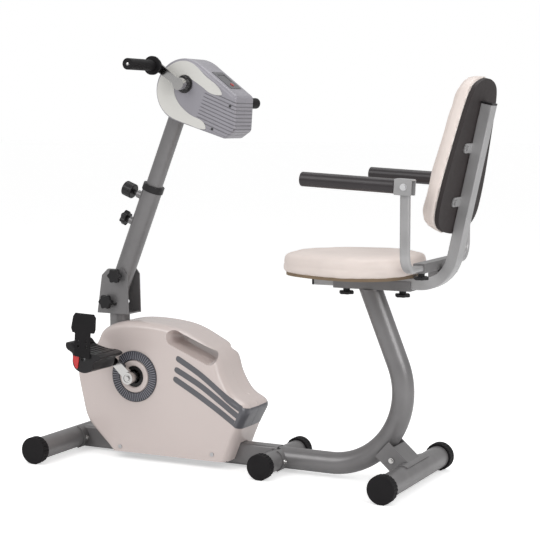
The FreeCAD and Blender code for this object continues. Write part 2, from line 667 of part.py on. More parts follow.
def brake_arm():
    """Curved magnet carrier behind the flywheel's rim, hinged at its foot."""
    band = ring_y(FLY_R + 12, FLY_R + 6, -15, 15, FLY_X, FLY_Z)
    fan = [(FLY_X, FLY_Z)]
    for angle in (-38, -20, 0, 20):
        turn = math.radians(angle)
        fan.append((FLY_X + 160 * math.cos(turn), FLY_Z + 160 * math.sin(turn)))
    band = band.common(plate_y(outline(fan, -20), 40))
    foot = bar_y(9, -15, 15, BRAKE_X, BRAKE_Z)
    stem = plate_y(outline([(BRAKE_X - 7, BRAKE_Z), (BRAKE_X + 7, BRAKE_Z), (BRAKE_X + 2, BRAKE_Z + 38),
                            (BRAKE_X - 12, BRAKE_Z + 38)], -12), 24)
    stem = stem.cut(bar_y(FLY_R + 6, -20, 20, FLY_X, FLY_Z))
    arm = fused([band, foot, stem])
    for angle in (-24, -4, 15):
        turn = math.radians(angle)
        reach = FLY_R + 7.0
        magnet = block(-8, 8, -11, 11, -4, 0)
        magnet.Placement = Placement(
            Vector(FLY_X + reach * math.cos(turn), 0, FLY_Z + reach * math.sin(turn)),
            Rotation(Y_AXIS, 90 - angle))
        arm = arm.fuse(magnet)
    return arm.cut(bar_y(4.0 + RUN, -30, 30, BRAKE_X, BRAKE_Z)).removeSplitter()


# ---- mast ------------------------------------------------------------------
BRACKET_IN, BRACKET_OUT = 30.0, 34.0
LOCK_REACH = 80.0
TILT_BACK, TILT_FORWARD = 8.0, 15.0


def lock_spot(extra=0.0):
    """Where the tilt lock crosses the plates, in X and Z."""
    lean = math.radians(MAST_LEAN + extra)
    return PIVOT_X - LOCK_REACH * math.sin(lean), PIVOT_Z - LOCK_REACH * math.cos(lean)


def mast_post():
    """Post on the rail with the two tilt plates, slotted for the lock stud."""
    post = cylinder(POST_R, 402 - RAIL_TOP - 0.2, (POST_X, 0, RAIL_TOP + 0.2))
    post = post.cut(cylinder(POST_R - WALL, 400, (POST_X, 0, RAIL_TOP - 1)))
    floor = block(-514, -416, -BRACKET_OUT, BRACKET_OUT, 399, 403)
    plate = plate_y(outline([(-516, 399), (-414, 399), (-417, 508), (-430, 525), (-480, 525), (-500, 506)],
                            BRACKET_IN), BRACKET_OUT - BRACKET_IN)
    plate = plate.makeFillet(9.0, along_edges(plate, Y_AXIS)[2:])
    plate = plate.cut(bar_y(5.0 + RUN, 0, 60, PIVOT_X, PIVOT_Z))
    for step in range(13):
        turn = -TILT_FORWARD - 1 + (TILT_FORWARD + TILT_BACK + 2) * step / 12
        x, z = lock_spot(turn)
        plate = plate.cut(bar_y(5.6, 0, 60, x, z))
    return fused([post, floor, plate, mirrored(plate)])


def mast_outer_tube():
    """Lower mast tube with bosses for the height pin and the clamp."""
    tube = cylinder(MAST_R, MAST_TOP - MAST_TAIL, (0, 0, MAST_TAIL))
    bosses = [cylinder(11, 40 - 20, (-20, 0, PIN_S), -X_AXIS), cylinder(11, 36 - 20, (-20, 0, CLAMP_S), -X_AXIS)]
    tube = fused([tube] + bosses)
    tube = tube.cut(cylinder(MAST_R - 2.5, 400, (0, 0, MAST_TAIL - 1)))
    for height in (PIN_S, CLAMP_S):
        tube = tube.cut(cylinder(5.0 + RUN, 40, (-15, 0, height), -X_AXIS))
    for height in (0.0, -LOCK_REACH):
        tube = tube.cut(bar_y(5.0 + RUN, -60, 60, 0, height))
    return on_mast(tube)


def mast_collar():
    """Plastic bush between the tubes with a collar on top of the lower one."""
    sleeve = cylinder(MAST_R - 2.55, 130, (0, 0, MAST_TOP - 130))
    ring = cylinder(MAST_R + 2.5, 18, (0, 0, MAST_TOP - 2))
    bush = fused([sleeve, ring])
    bush = bush.cut(cylinder(MAST_R + 0.05, 2.1, (0, 0, MAST_TOP - 2)).cut(
        cylinder(MAST_R - 2.55, 3, (0, 0, MAST_TOP - 2.5))))
    bush = bush.cut(cylinder(SLIDER_R + 0.1, 160, (0, 0, MAST_TOP - 140)))
    for height in (PIN_S, CLAMP_S):
        bush = bush.cut(cylinder(6.0, 40, (-15, 0, height), -X_AXIS))
    return on_mast(bush)


def mast_inner_tube():
    """Sliding tube with its key slot, the axle barrel and the tab for the head."""
    tube = cylinder(SLIDER_R, SLIDER_TOP - SLIDER_FOOT, (0, 0, SLIDER_FOOT))
    barrel = bar_y(17.0, -HEAD_HALF + 6, HEAD_HALF - 6, HAND_P, HAND_S)
    tube = fused([tube, barrel])
    hollow = cylinder(SLIDER_R - 2.5, SLIDER_TOP - SLIDER_FOOT - 4, (0, 0, SLIDER_FOOT - 1))
    tube = tube.cut(hollow.cut(bar_y(17.0, -60, 60, HAND_P, HAND_S)))
    tube = tube.cut(bar_y(10.0 + RUN, -60, 60, HAND_P, HAND_S))
    low, high = PIN_S - SLIDE_UP, PIN_S + SLIDE_DOWN
    slot = fused([block(-30, -12, -5.2, 5.2, low, high), cylinder(5.2, 18, (-30, 0, low), X_AXIS),
                  cylinder(5.2, 18, (-30, 0, high), X_AXIS)])
    return on_mast(tube.cut(slot))


def cross_knob(radius, depth, at_x, at_z, far_y):
    """A star knob on the near side whose stud crosses to a lock nut on the far side."""
    knob = star_knob(radius, depth, 5.0, 2 * far_y + 14)
    knob = placed(knob, (at_x, -far_y - 1.0, at_z), (0, -1, 0))
    nut = ring_y(9.0, 4.0, far_y + 1.0, far_y + 9.0, at_x, at_z)
    return fused([knob, nut])


def height_pin_knob():
    """Fluted pull knob with its sprung pin, on the front of the mast."""
    knob = cylinder(21.0, 30.0, (-54.0, 0, PIN_S), -X_AXIS)
    knob = knob.makeFillet(2.5, [knob.Edges[0], knob.Edges[2]])
    for step in range(18):
        angle = 2 * math.pi * step / 18
        knob = knob.cut(cylinder(1.8, 40, (-58.0, 21.8 * math.sin(angle), PIN_S + 21.8 * math.cos(angle)), -X_AXIS))
    stem = cylinder(7.0, 16, (-40.5, 0, PIN_S), -X_AXIS)
    pin = cylinder(5.0, 40, (-20.0, 0, PIN_S), -X_AXIS)
    return on_mast(fused([knob, stem, pin]))


def height_clamp_knob():
    """Star knob whose stud presses on the sliding tube."""
    knob = star_knob(21.0, 24.0, 5.0, 36.5 - SLIDER_R - 0.4)
    return on_mast(placed(knob, (-36.5, 0, CLAMP_S), (-1, 0, 0)))


# ---- head ------------------------------------------------------------------
HEAD_FRONT_R, HEAD_FRONT_DROP = 85.0, 18.0


def head_wire(inset=0.0, y=0.0):
    """Side outline of the head about the axle: round front, long taper, sloped blunt end."""
    r = HEAD_FRONT_R - inset
    cz = -HEAD_FRONT_DROP
    upper = math.radians(72)
    lower = math.radians(-86)
    start = Vector(HAND_P + r * math.cos(upper), y, HAND_S + cz + r * math.sin(upper))
    front = Vector(HAND_P - r, y, HAND_S + cz)
    stop = Vector(HAND_P + r * math.cos(lower), y, HAND_S + cz + r * math.sin(lower))
    low_end = Vector(HAND_P + 165 - inset, y, HAND_S - 91 + inset)
    high_end = Vector(HAND_P + 186 - inset, y, HAND_S - 60)
    shoulder = Vector(HAND_P + 158 - inset, y, HAND_S + 26 - inset)
    return Part.Wire([Part.Arc(start, front, stop).toShape(), Part.LineSegment(stop, low_end).toShape(),
                      Part.LineSegment(low_end, high_end).toShape(),
                      Part.LineSegment(high_end, shoulder).toShape(),
                      Part.LineSegment(shoulder, start).toShape()])


HEAD_SCREWS = [(HAND_P + 150, HAND_S - 4), (HAND_P + 122, HAND_S - 80)]


def head_half():
    """Near half of the head housing, drawn on the upright mast."""
    outer = plate_y(head_wire(0, -HEAD_HALF), HEAD_HALF - 0.1)
    tail = [e for e in along_edges(outer, Y_AXIS) if e.BoundBox.XMin > HAND_P + 140]
    outer = outer.makeFillet(14.0, tail)
    outer = outer.makeFillet(10.0, [e for e in outer.Edges if e.BoundBox.YMax < -HEAD_HALF + 0.01])
    half = outer.cut(plate_y(head_wire(3.0, -HEAD_HALF + 3), HEAD_HALF))
    half = half.cut(bar_y(17.5, -60, -30, HAND_P, HAND_S))
    half = half.cut(cylinder(SLIDER_R + 0.6, 200, (0, 0, HAND_S - 200)))
    pocket = block(-GAP, 72 + GAP, -30 - GAP, 5, -8, 8)
    pocket.Placement = console_place(29.0, 0.0)
    half = half.cut(pocket)
    for x, z in HEAD_SCREWS:
        half = half.cut(bar_y(2.6, -60, -40, x, z))
    return half


def head_screws():
    """Countersunk screws, two on each side of the head."""
    screws = []
    for x, z in HEAD_SCREWS:
        head = bar_y(3.4, -HEAD_HALF - 1.6, -HEAD_HALF - 0.2, x, z)
        screw = bar_y(2.2, -HEAD_HALF - 1, -HEAD_HALF + 16, x, z).fuse(head)
        screws += [screw, mirrored(screw)]
    return on_mast(Part.makeCompound(screws))


PANEL_OUTER = [(115, 18), (100, 29), (52, 43), (22, 55), (-8, 60), (-38, 50), (-62, 27), (-76, -8),
               (-74, -42), (-56, -73), (-28, -92), (10, -98), (60, -95), (92, -92), (103, -86), (98, -78)]
PANEL_INNER = [(58, -70), (22, -63), (-8, -47), (-26, -22), (-24, 6), (-6, 20), (20, 19), (60, 11), (100, 8)]


def head_side_panels():
    """Thin C-shaped cover plates on both sides of the head."""
    points = [(HAND_P + p, HAND_S + q) for p, q in PANEL_OUTER + PANEL_INNER]
    panel = plate_y(smooth_outline(points, -HEAD_HALF - 1.6), 1.4)
    bezel = ring_y(24.0, 17.5, -HEAD_HALF - 3.2, -HEAD_HALF - 0.2, HAND_P, HAND_S)
    panel = panel.cut(bar_y(24.3, -60, -50, HAND_P, HAND_S))
    return on_mast(Part.makeCompound([panel, bezel, mirrored(panel), mirrored(bezel)]))


def console_place(along, proud):
    """Placement on the sloped console face, a distance down it and above it."""
    start = Vector(HAND_P + HEAD_FRONT_R * math.cos(math.radians(72)), 0,
                   HAND_S - HEAD_FRONT_DROP + HEAD_FRONT_R * math.sin(math.radians(72)))
    end = Vector(HAND_P + 158, 0, HAND_S + 26)
    slope = (end - start).normalize()
    normal = Vector(-slope.z, 0, slope.x)
    angle = math.degrees(math.atan2(-slope.z, slope.x))
    return Placement(start + slope * along + normal * proud, Rotation(Y_AXIS, angle))


def display_panel():
    """Console plate set in the head's sloped face, with a window recess."""
    panel = rounded_block(0, 72, -30, 30, -2.6, 1.2, 5.0, Z_AXIS)
    panel = panel.cut(block(12, 42, -20, 20, 0.2, 3))
    panel = panel.cut(cylinder(6.0 + GAP, 10, (56, 0, -5)))
    panel.Placement = console_place(29.0, 0.0)
    return on_mast(panel)


def display_button():
    """Round mode button in the console plate."""
    button = cylinder(6.0, 6.0, (0, 0, -3.0))
    button = button.makeFillet(1.0, [button.Edges[0]])
    button.Placement = console_place(85.0, 0.0)
    return on_mast(button)


def hand_axle():
    """Axle across the head."""
    return on_mast(bar_y(10.0, -86, 86, HAND_P, HAND_S))


def hand_spot(angle, throw=HAND_THROW):
    """Place of a grip, in X and Z, in the bike's own frame."""
    axle = on_mast(Part.Vertex(HAND_P, 0, HAND_S)).Point
    turn = math.radians(angle)
    return axle.x + throw * math.cos(turn), axle.z + throw * math.sin(turn)


def hand_crank_arms():
    """Flat arms half a turn apart, with their centre bosses and grip spindles."""
    x, z = hand_spot(0, 0)
    arm = arm_plate(x, z, HAND_THROW, 13.0, 12.0, -82, -74)
    boss = bar_y(16.5, -89, -70, x, z)
    spindle = bar_y(5.0, -GRIP_END + 4, -75, x + HAND_THROW, z)
    washer = bar_y(9.0, -84.5, -80, x + HAND_THROW, z)
    arm = fused([arm, boss, spindle, washer]).cut(bar_y(10.02, -86.1, 0, x, z))
    arms = [turned(arm, HAND_ANGLE, x, z), turned(mirrored(arm), HAND_ANGLE + 180, x, z)]
    return Part.makeCompound(arms)


def grip(side, angle):
    """Rubber grip with a guard flange, free to spin on its spindle."""
    x, z = hand_spot(angle)
    sleeve = bar_y(15.0, -GRIP_END, -98, x, z)
    flange = bar_y(25.0, -106, -99, x, z)
    boot = Part.makeCone(20.0, 15.0, 14, Vector(x, -86, z), Vector(0, -1, 0))
    solid = fused([sleeve, flange, boot])
    solid = solid.cut(bar_y(5.0 + RUN, -GRIP_END + 3, -80, x, z))
    return solid if side < 0 else mirrored(solid)


# ---- seat ------------------------------------------------------------------
def frame_section(x, z):
    """Upright rounded rectangle in the YZ plane, the seat frame's section."""
    solid = rounded_block(x, x + 1, -LEG_W / 2, LEG_W / 2, z - LEG_H / 2, z + LEG_H / 2, 3.0, X_AXIS)
    face = [f for f in solid.Faces if f.BoundBox.XMax < x + 0.01][0]
    return face.OuterWire


def back_point(run, forward=0.0):
    """A point up the back tube's centreline, and in front of it."""
    lean = math.radians(BACK_LEAN)
    centre = Vector(LEG_BEND_X, 0, LEG_BOTTOM + LEG_H / 2 + LEG_BEND_R)
    foot = centre + Vector(math.cos(lean), 0, -math.sin(lean)) * LEG_BEND_R
    up = Vector(math.sin(lean), 0, math.cos(lean))
    front = Vector(-math.cos(lean), 0, math.sin(lean))
    return foot + up * run + front * forward


def frame_bar(shrink=0.0):
    """The L-shaped seat frame as a bar: under the seat, one bend, up the back."""
    z = LEG_BOTTOM + LEG_H / 2
    turn = 90 - BACK_LEAN
    centre = Vector(LEG_BEND_X, 0, z + LEG_BEND_R)
    half = math.radians(turn / 2 - 90)
    middle = centre + Vector(math.cos(half), 0, math.sin(half)) * LEG_BEND_R
    bend_start = Vector(LEG_BEND_X, 0, z)
    bend_end = back_point(0)
    path = [Part.LineSegment(Vector(LEG_FRONT, 0, z), bend_start).toShape(),
            Part.Arc(bend_start, middle, bend_end).toShape(),
            Part.LineSegment(bend_end, back_point(BACK_RUN)).toShape()]
    wire = frame_section(LEG_FRONT, z)
    if shrink:
        wire = wire.makeOffset2D(-shrink)
    return swept(path, wire)


TAB_RUNS = (141.0, 276.0)     # tab heights up the back tube
TAB_Y = 58.0
SEAT_BACK, SEAT_FORWARD = 40.0, 50.0    # travel of the seat from its rest place


def seat_frame_tube():
    """L-shaped tube with clamp slots below and the backrest tabs on its back leg."""
    frame = frame_bar().cut(frame_bar(WALL))
    for x in KNOB_X:
        slot = block(x - SEAT_BACK - 5.2, x + SEAT_FORWARD + 5.2, -5.2, 5.2, LEG_BOTTOM - 2, LEG_BOTTOM + 5)
        frame = frame.cut(slot)
    tabs = []
    back = LEG_H / 2 - 3.0
    for run in TAB_RUNS:
        tab = rounded_block(-12, 12, -TAB_Y - 12, TAB_Y + 12, 0, 3.0, 10.0, Z_AXIS)
        for side in (-1, 1):
            tab = tab.fuse(cylinder(6.5, 8.0, (0, side * TAB_Y, -5.0)))
        tab.Placement = Placement(back_point(run, back), Rotation(Y_AXIS, BACK_LEAN - 90))
        tabs.append(tab)
    return fused([frame] + tabs)


def frame_plugs():
    """Plastic plugs in the front and top ends of the seat frame."""
    z = LEG_BOTTOM + LEG_H / 2
    front = block(LEG_FRONT - 6, LEG_FRONT - 0.1, -LEG_W / 2, LEG_W / 2, LEG_BOTTOM, LEG_BOTTOM + LEG_H)
    front = front.makeFillet(2.0, along_edges(front, X_AXIS))
    top = block(-LEG_H / 2, LEG_H / 2, -LEG_W / 2, LEG_W / 2, 0.1, 5)
    top = top.makeFillet(2.0, along_edges(top, Z_AXIS))
    top.Placement = Placement(back_point(BACK_RUN), Rotation(Y_AXIS, BACK_LEAN))
    return Part.makeCompound([front, top])


SEAT_OUTLINE = [(69, 0), (76, 62), (106, 112), (160, 148), (224, 174), (290, 185), (340, 180), (382, 158),
                (414, 122), (432, 70), (436, 0)]


def seat_outline(inset, z):
    """Plan outline of the seat: round front, widest behind the middle, waisted rear corners."""
    full = SEAT_OUTLINE + [(x, -y) for x, y in SEAT_OUTLINE[-2:0:-1]]
    curve = Part.BSplineCurve()
    points = [Vector(x, y, z) for x, y in inset_points(full, inset)]
    curve.interpolate(Points=points, PeriodicFlag=True)
    return Part.Wire([curve.toShape()])


def seat_base():
    """Plywood board that the seat frame is screwed to."""
    low = LEG_BOTTOM + LEG_H + 0.2
    return Part.Face(seat_outline(14.0, low)).extrude(Vector(0, 0, PAD_Z - 0.2 - low))


def seat_pad():
    """Foam seat cushion as one plain solid."""
    pad = Part.Face(seat_outline(0.0, PAD_Z)).extrude(Vector(0, 0, PAD_H))
    return pad.makeFillet(12.0, [e for e in pad.Edges if e.BoundBox.ZMin > PAD_Z + PAD_H - 0.01])


BACK_OUTLINE = [(-88, 0), (-84, 60), (-72, 108), (-44, 143), (-4, 151), (90, 141), (180, 122), (250, 104),
                (288, 82), (306, 44), (312, 0)]
BACK_H0 = 142.0               # run up the back tube where the outline's zero lies


def back_board(outline_points, inset, low, thickness):
    """A slab parallel to the back tube, its outline drawn up and across it."""
    full = outline_points + [(h, -y) for h, y in outline_points[-2:0:-1]]
    curve = Part.BSplineCurve()
    curve.interpolate(Points=[Vector(h, y, 0) for h, y in inset_points(full, inset)], PeriodicFlag=True)
    wire = Part.Wire([curve.toShape()])
    slab = Part.Face(wire).extrude(Vector(0, 0, thickness))
    slab.Placement = Placement(back_point(BACK_H0, LEG_H / 2 + low), Rotation(Y_AXIS, BACK_LEAN - 90))
    return slab


def backrest_base():
    """Back panel behind the cushion."""
    return back_board(BACK_OUTLINE, 5.0, 0.2, 9.8)


def backrest_pad():
    """Foam back cushion as one plain solid."""
    return back_board(BACK_OUTLINE, 0.0, 10.2, BACK_PAD_T)


SLEEVE_HALF = 122.0


def armrest_cross_tube():
    """Square tube across the frame that both armrest posts slide into, on a small pedestal."""
    tube = block(ARM_X - 15, ARM_X + 15, -SLEEVE_HALF, SLEEVE_HALF, ARM_SLEEVE_Z - 12, ARM_SLEEVE_Z + 12)
    tube = tube.makeFillet(2.0, along_edges(tube, Y_AXIS))
    bore = rounded_block(ARM_X - 12.5 - GAP, ARM_X + 12.5 + GAP, -SLEEVE_HALF - 1, SLEEVE_HALF + 1,
                         ARM_SLEEVE_Z - 7.5 - GAP, ARM_SLEEVE_Z + 7.5 + GAP, 6.5, Y_AXIS)
    tube = tube.cut(bore)
    low = LEG_BOTTOM + LEG_H + 0.2
    foot = block(ARM_X - 15, ARM_X + 10, -18, 18, low, ARM_SLEEVE_Z - 11)
    solid = fused([tube, foot]).cut(frame_bar().makeOffsetShape(0.2, 0.01))
    for side in (-1, 1):
        solid = solid.cut(cylinder(4.0 + RUN, 12, (ARM_X, side * ARM_KNOB_Y, ARM_SLEEVE_Z - 16)))
    return solid


def armrest_post():
    """Near armrest post: flat-oval tube from the cross tube, out and up to the hinge."""
    bend, y_end = 42.0, -28.0
    z, y = ARM_SLEEVE_Z, -ARM_Y
    section = rounded_block(ARM_X - 12.5, ARM_X + 12.5, y_end - 1, y_end, z - 7.5, z + 7.5, 6.2, Y_AXIS)
    wire = [f for f in section.Faces if f.BoundBox.YMin > y_end - 0.01][0].OuterWire
    corner = math.radians(45)
    path = [Part.LineSegment(Vector(ARM_X, y_end, z), Vector(ARM_X, y + bend, z)).toShape(),
            Part.Arc(Vector(ARM_X, y + bend, z),
                     Vector(ARM_X, y + bend - bend * math.sin(corner), z + bend - bend * math.cos(corner)),
                     Vector(ARM_X, y, z + bend)).toShape(),
            Part.LineSegment(Vector(ARM_X, y, z + bend), Vector(ARM_X, y, ARM_HINGE_Z)).toShape()]
    tube = swept(path, wire)
    eye = bar_y(12.5, y - 7.5, y + 7.5, ARM_HINGE_X, ARM_HINGE_Z)
    bolt = bar_y(4.0, y - 16, y + 16, ARM_HINGE_X, ARM_HINGE_Z)
    heads = [bar_y(7.0, y - 20, y - 15.6, ARM_HINGE_X, ARM_HINGE_Z), bar_y(7.0, y + 15.6, y + 20, ARM_HINGE_X, ARM_HINGE_Z)]
    return fused([tube, eye, bolt] + heads)


def armrest_bar():
    """Near armrest: steel tube with a forked end on the hinge bolt."""
    y = -ARM_Y
    tube_end = ARM_HINGE_X - 24
    fork = block(ARM_HINGE_X - 24, ARM_HINGE_X + 20, y - 15, y + 15, ARM_HINGE_Z - 20, ARM_HINGE_Z + 19)
    fork = fork.makeFillet(3.0, along_edges(fork, Y_AXIS))
    fork = fork.cut(block(ARM_HINGE_X - 20, ARM_HINGE_X + 30, y - 12, y + 12, ARM_HINGE_Z - 30, ARM_HINGE_Z + 15.5))
    fork = fork.cut(bar_y(4.0 + RUN, y - 30, y + 30, ARM_HINGE_X, ARM_HINGE_Z))
    tube = cylinder(11.0, tube_end - ARM_FRONT + 1, (ARM_FRONT, y, ARM_HINGE_Z), X_AXIS)
    return turned(fused([fork, tube]), -ARM_SLOPE, ARM_HINGE_X, ARM_HINGE_Z)


def armrest_foam():
    """Near armrest's foam sleeve."""
    y = -ARM_Y
    length = ARM_HINGE_X - 24.5 - ARM_FRONT + 3
    sleeve = cylinder(18.0, length, (ARM_FRONT - 3, y, ARM_HINGE_Z), X_AXIS)
    sleeve = sleeve.makeFillet(2.5, [sleeve.Edges[0], sleeve.Edges[2]])
    sleeve = sleeve.cut(cylinder(11.1, length, (ARM_FRONT - 0.2, y, ARM_HINGE_Z), X_AXIS))
    return turned(sleeve, -ARM_SLOPE, ARM_HINGE_X, ARM_HINGE_Z)


def seat_knob(x):
    """Mushroom star knob under the seat channel; its stud reaches a nut inside the frame."""
    knob = star_knob(20.0, 17.0, 5.0, 13.0)
    nut = cylinder(8.5, 5.4, (0, 0, -13.0))
    return placed(fused([knob, nut]), (x, 0, CHANNEL_Z - 0.3), (0, 0, -1))


def armrest_knob(side):
    """Star knob under one end of the cross tube; its stud presses on the post."""
    knob = star_knob(19.0, 17.0, 4.0, 4.6)
    return placed(knob, (ARM_X, side * ARM_KNOB_Y, ARM_SLEEVE_Z - 12.4), (0, 0, -1))


# ---- build -----------------------------------------------------------------
def main():
    """Write every node."""
    os.makedirs("parts", exist_ok=True)
    near_shell = shell_half()
    near_head = on_mast(head_half())
    lock_x, lock_z = lock_spot()
    post, bar, foam = armrest_post(), armrest_bar(), armrest_foam()
    nodes = {
        "main_rail": main_rail(),
        "mast_post": mast_post(),
        "stabiliser_tubes": foot_tubes(),
        "stabiliser_end_caps": end_caps(),
        "stabiliser_bolts": foot_bolts(),
        "seat_post_tube": seat_post_tube(),
        "rear_bracket": rear_bracket(),
        "seat_channel": seat_channel(),
        "left_shell": near_shell,
        "right_shell": mirrored(near_shell),
        "hub_covers": hub_covers(),
        "shell_screws": shell_screws(),
        "bottom_bracket": bottom_bracket(),
        "bottom_bracket_bearings": bottom_bracket_bearings(),
        "drive_belt": drive_belt(),
        "flywheel_mount": flywheel_mount(),
        "flywheel": flywheel(),
        "brake_arm": brake_arm(),
        "crank_axle": crank_axle(),
        "drive_pulley": drive_pulley(),
        "crank_arms": Part.makeCompound([crank_arms(), crank_nuts()]),
        "pedal_spindles": pedal_spindles(),
        "left_pedal": pedal(-1, CRANK_ANGLE),
        "right_pedal": pedal(1, CRANK_ANGLE + 180),
        "left_pedal_strap": pedal_strap(-1, CRANK_ANGLE),
        "right_pedal_strap": pedal_strap(1, CRANK_ANGLE + 180),
        "mast_outer_tube": mast_outer_tube(),
        "mast_collar": mast_collar(),
        "mast_inner_tube": mast_inner_tube(),
        "tilt_pivot_knob": cross_knob(21.0, 22.0, PIVOT_X, PIVOT_Z, BRACKET_OUT),
        "tilt_lock_knob": cross_knob(21.0, 22.0, lock_x, lock_z, BRACKET_OUT),
        "height_pin_knob": height_pin_knob(),
        "height_clamp_knob": height_clamp_knob(),
        "head_left_shell": near_head,
        "head_right_shell": mirrored(near_head),
        "head_side_panels": head_side_panels(),
        "head_screws": head_screws(),
        "display_panel": display_panel(),
        "display_button": display_button(),
        "hand_crank_axle": hand_axle(),
        "hand_crank_arms": hand_crank_arms(),
        "left_grip": grip(-1, HAND_ANGLE),
        "right_grip": grip(1, HAND_ANGLE + 180),
        "seat_frame_tube": seat_frame_tube(),
        "seat_frame_plugs": frame_plugs(),
        "seat_base": seat_base(),
        "seat_pad": seat_pad(),
        "backrest_base": backrest_base(),
        "backrest_pad": backrest_pad(),
        "armrest_cross_tube": armrest_cross_tube(),
        "left_armrest_post": post,
        "right_armrest_post": mirrored(post),
        "left_armrest_bar": bar,
        "right_armrest_bar": mirrored(bar),
        "left_armrest_foam": foam,
        "right_armrest_foam": mirrored(foam),
        "seat_front_knob": seat_knob(KNOB_X[0]),
        "seat_rear_knob": seat_knob(KNOB_X[1]),
        "left_armrest_knob": armrest_knob(-1),
        "right_armrest_knob": armrest_knob(1),
    }
    for name, shape in nodes.items():
        export(name, shape)
        box = shape.BoundBox
        print(name, len(shape.Solids), shape.isValid(), round(shape.Volume / 1000, 1),
              [round(v, 1) for v in (box.XMin, box.XMax, box.YMin, box.YMax, box.ZMin, box.ZMax)])


main()
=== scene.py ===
import json
import math
import bpy
import bmesh
from mathutils import Matrix, Vector
from mathutils.bvhtree import BVHTree

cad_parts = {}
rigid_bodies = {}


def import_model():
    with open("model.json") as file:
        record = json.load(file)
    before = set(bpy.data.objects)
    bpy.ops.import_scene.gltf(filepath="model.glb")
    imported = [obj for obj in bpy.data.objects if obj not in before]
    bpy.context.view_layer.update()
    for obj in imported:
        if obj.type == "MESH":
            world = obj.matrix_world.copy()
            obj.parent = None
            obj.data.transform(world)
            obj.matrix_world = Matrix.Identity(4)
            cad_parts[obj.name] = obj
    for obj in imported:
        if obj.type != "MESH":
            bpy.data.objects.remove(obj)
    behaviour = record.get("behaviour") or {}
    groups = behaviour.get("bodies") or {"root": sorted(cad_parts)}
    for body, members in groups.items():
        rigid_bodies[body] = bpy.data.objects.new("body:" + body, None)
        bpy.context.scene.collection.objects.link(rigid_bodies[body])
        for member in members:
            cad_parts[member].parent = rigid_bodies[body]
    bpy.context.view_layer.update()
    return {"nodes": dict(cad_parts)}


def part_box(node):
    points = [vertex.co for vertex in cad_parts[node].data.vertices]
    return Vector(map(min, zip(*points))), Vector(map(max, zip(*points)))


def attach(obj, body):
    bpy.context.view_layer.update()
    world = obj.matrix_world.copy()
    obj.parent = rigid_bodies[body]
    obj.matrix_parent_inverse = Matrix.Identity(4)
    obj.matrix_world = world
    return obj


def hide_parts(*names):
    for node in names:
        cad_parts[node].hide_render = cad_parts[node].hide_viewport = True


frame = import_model()

# ---- The stand: camera, floor and lamps -------------------------------------
# A plain pale floor that meets a white room, one large soft lamp at the front left,
# a weaker one at the right and a large square one above for the edges of the tubes.

CAMERA_SPOT = (1.7453, -3.4308, 0.9301)
CAMERA_TURN, CAMERA_DIP = math.radians(26.864), math.radians(5.756)
FLOOR_HALF_WIDTH = 60.0
LAMP_AIM = Vector((0, 0, 0.5))
LAMPS = (
    # name, place, size and power
    ("front_lamp", (-1.6, -3.2, 3.0), 2.4, 58.0),
    ("side_lamp", (3.2, -1.4, 2.0), 2.0, 50.0),
    ("top_lamp", (0.2, 1.0, 3.6), 2.6, 36.0),
)


def placed(name, shape):
    """Turn a finished bmesh into an object of the scene."""
    piece = bpy.data.objects.new(name, bpy.data.meshes.new(name))
    shape.to_mesh(piece.data)
    shape.free()
    bpy.context.scene.collection.objects.link(piece)
    return piece


def brighter_to_the_camera(tree, others, camera_ray, target):
    """Give a strength one value for what the camera sees and another for the light that falls."""
    look = tree.nodes.new("ShaderNodeLightPath")
    strength = tree.nodes.new("ShaderNodeMapRange")
    strength.inputs["To Min"].default_value = others
    strength.inputs["To Max"].default_value = camera_ray
    tree.links.new(look.outputs["Is Camera Ray"], strength.inputs["Value"])
    tree.links.new(strength.outputs["Result"], target)


camera = bpy.data.objects.new("camera", bpy.data.cameras.new("camera"))
bpy.context.scene.collection.objects.link(camera)
camera.location = CAMERA_SPOT
aim = Vector((-math.sin(CAMERA_TURN) * math.cos(CAMERA_DIP),
              math.cos(CAMERA_TURN) * math.cos(CAMERA_DIP),
              -math.sin(CAMERA_DIP)))
camera.rotation_euler = aim.to_track_quat("-Z", "Y").to_euler()
camera.data.lens = 96.7
camera.data.shift_x = 0.0022
camera.data.shift_y = -0.0017
bpy.context.scene.camera = camera
bpy.context.scene.view_settings.view_transform = "Standard"

floor_mesh = bmesh.new()
bmesh.ops.create_grid(floor_mesh, x_segments=1, y_segments=1, size=FLOOR_HALF_WIDTH)
floor = placed("floor", floor_mesh)
floor_paint = bpy.data.materials.new("floor_paint")
floor_paint.use_nodes = True
floor_shader = floor_paint.node_tree.nodes["Principled BSDF"]
floor_shader.inputs["Base Color"].default_value = (0.92, 0.92, 0.92, 1)
floor_shader.inputs["Roughness"].default_value = 0.55
floor_shader.inputs["Emission Color"].default_value = (1, 1, 1, 1)
brighter_to_the_camera(floor_paint.node_tree, 0.05, 0.50, floor_shader.inputs["Emission Strength"])
floor.data.materials.append(floor_paint)

room = bpy.data.worlds.new("room")
room.use_nodes = True
sky = room.node_tree.nodes["Background"]
sky.inputs["Color"].default_value = (1.0, 1.0, 1.0, 1)
brighter_to_the_camera(room.node_tree, 0.53, 1.0, sky.inputs["Strength"])
bpy.context.scene.world = room

for name, spot, size, power in LAMPS:
    lamp = bpy.data.objects.new(name, bpy.data.lights.new(name, "AREA"))
    lamp.data.size = size
    lamp.data.energy = power
    lamp.location = spot
    lamp.rotation_euler = (LAMP_AIM - lamp.location).to_track_quat("-Z", "Y").to_euler()
    bpy.context.scene.collection.objects.link(lamp)


# ---- Steel tubes and plates --------------------------------------------------
# The rail, posts, feet and seat frame are welded steel with a silver-grey powder coat.
# The coat has a fine orange peel, and its tone drifts a little along each tube.

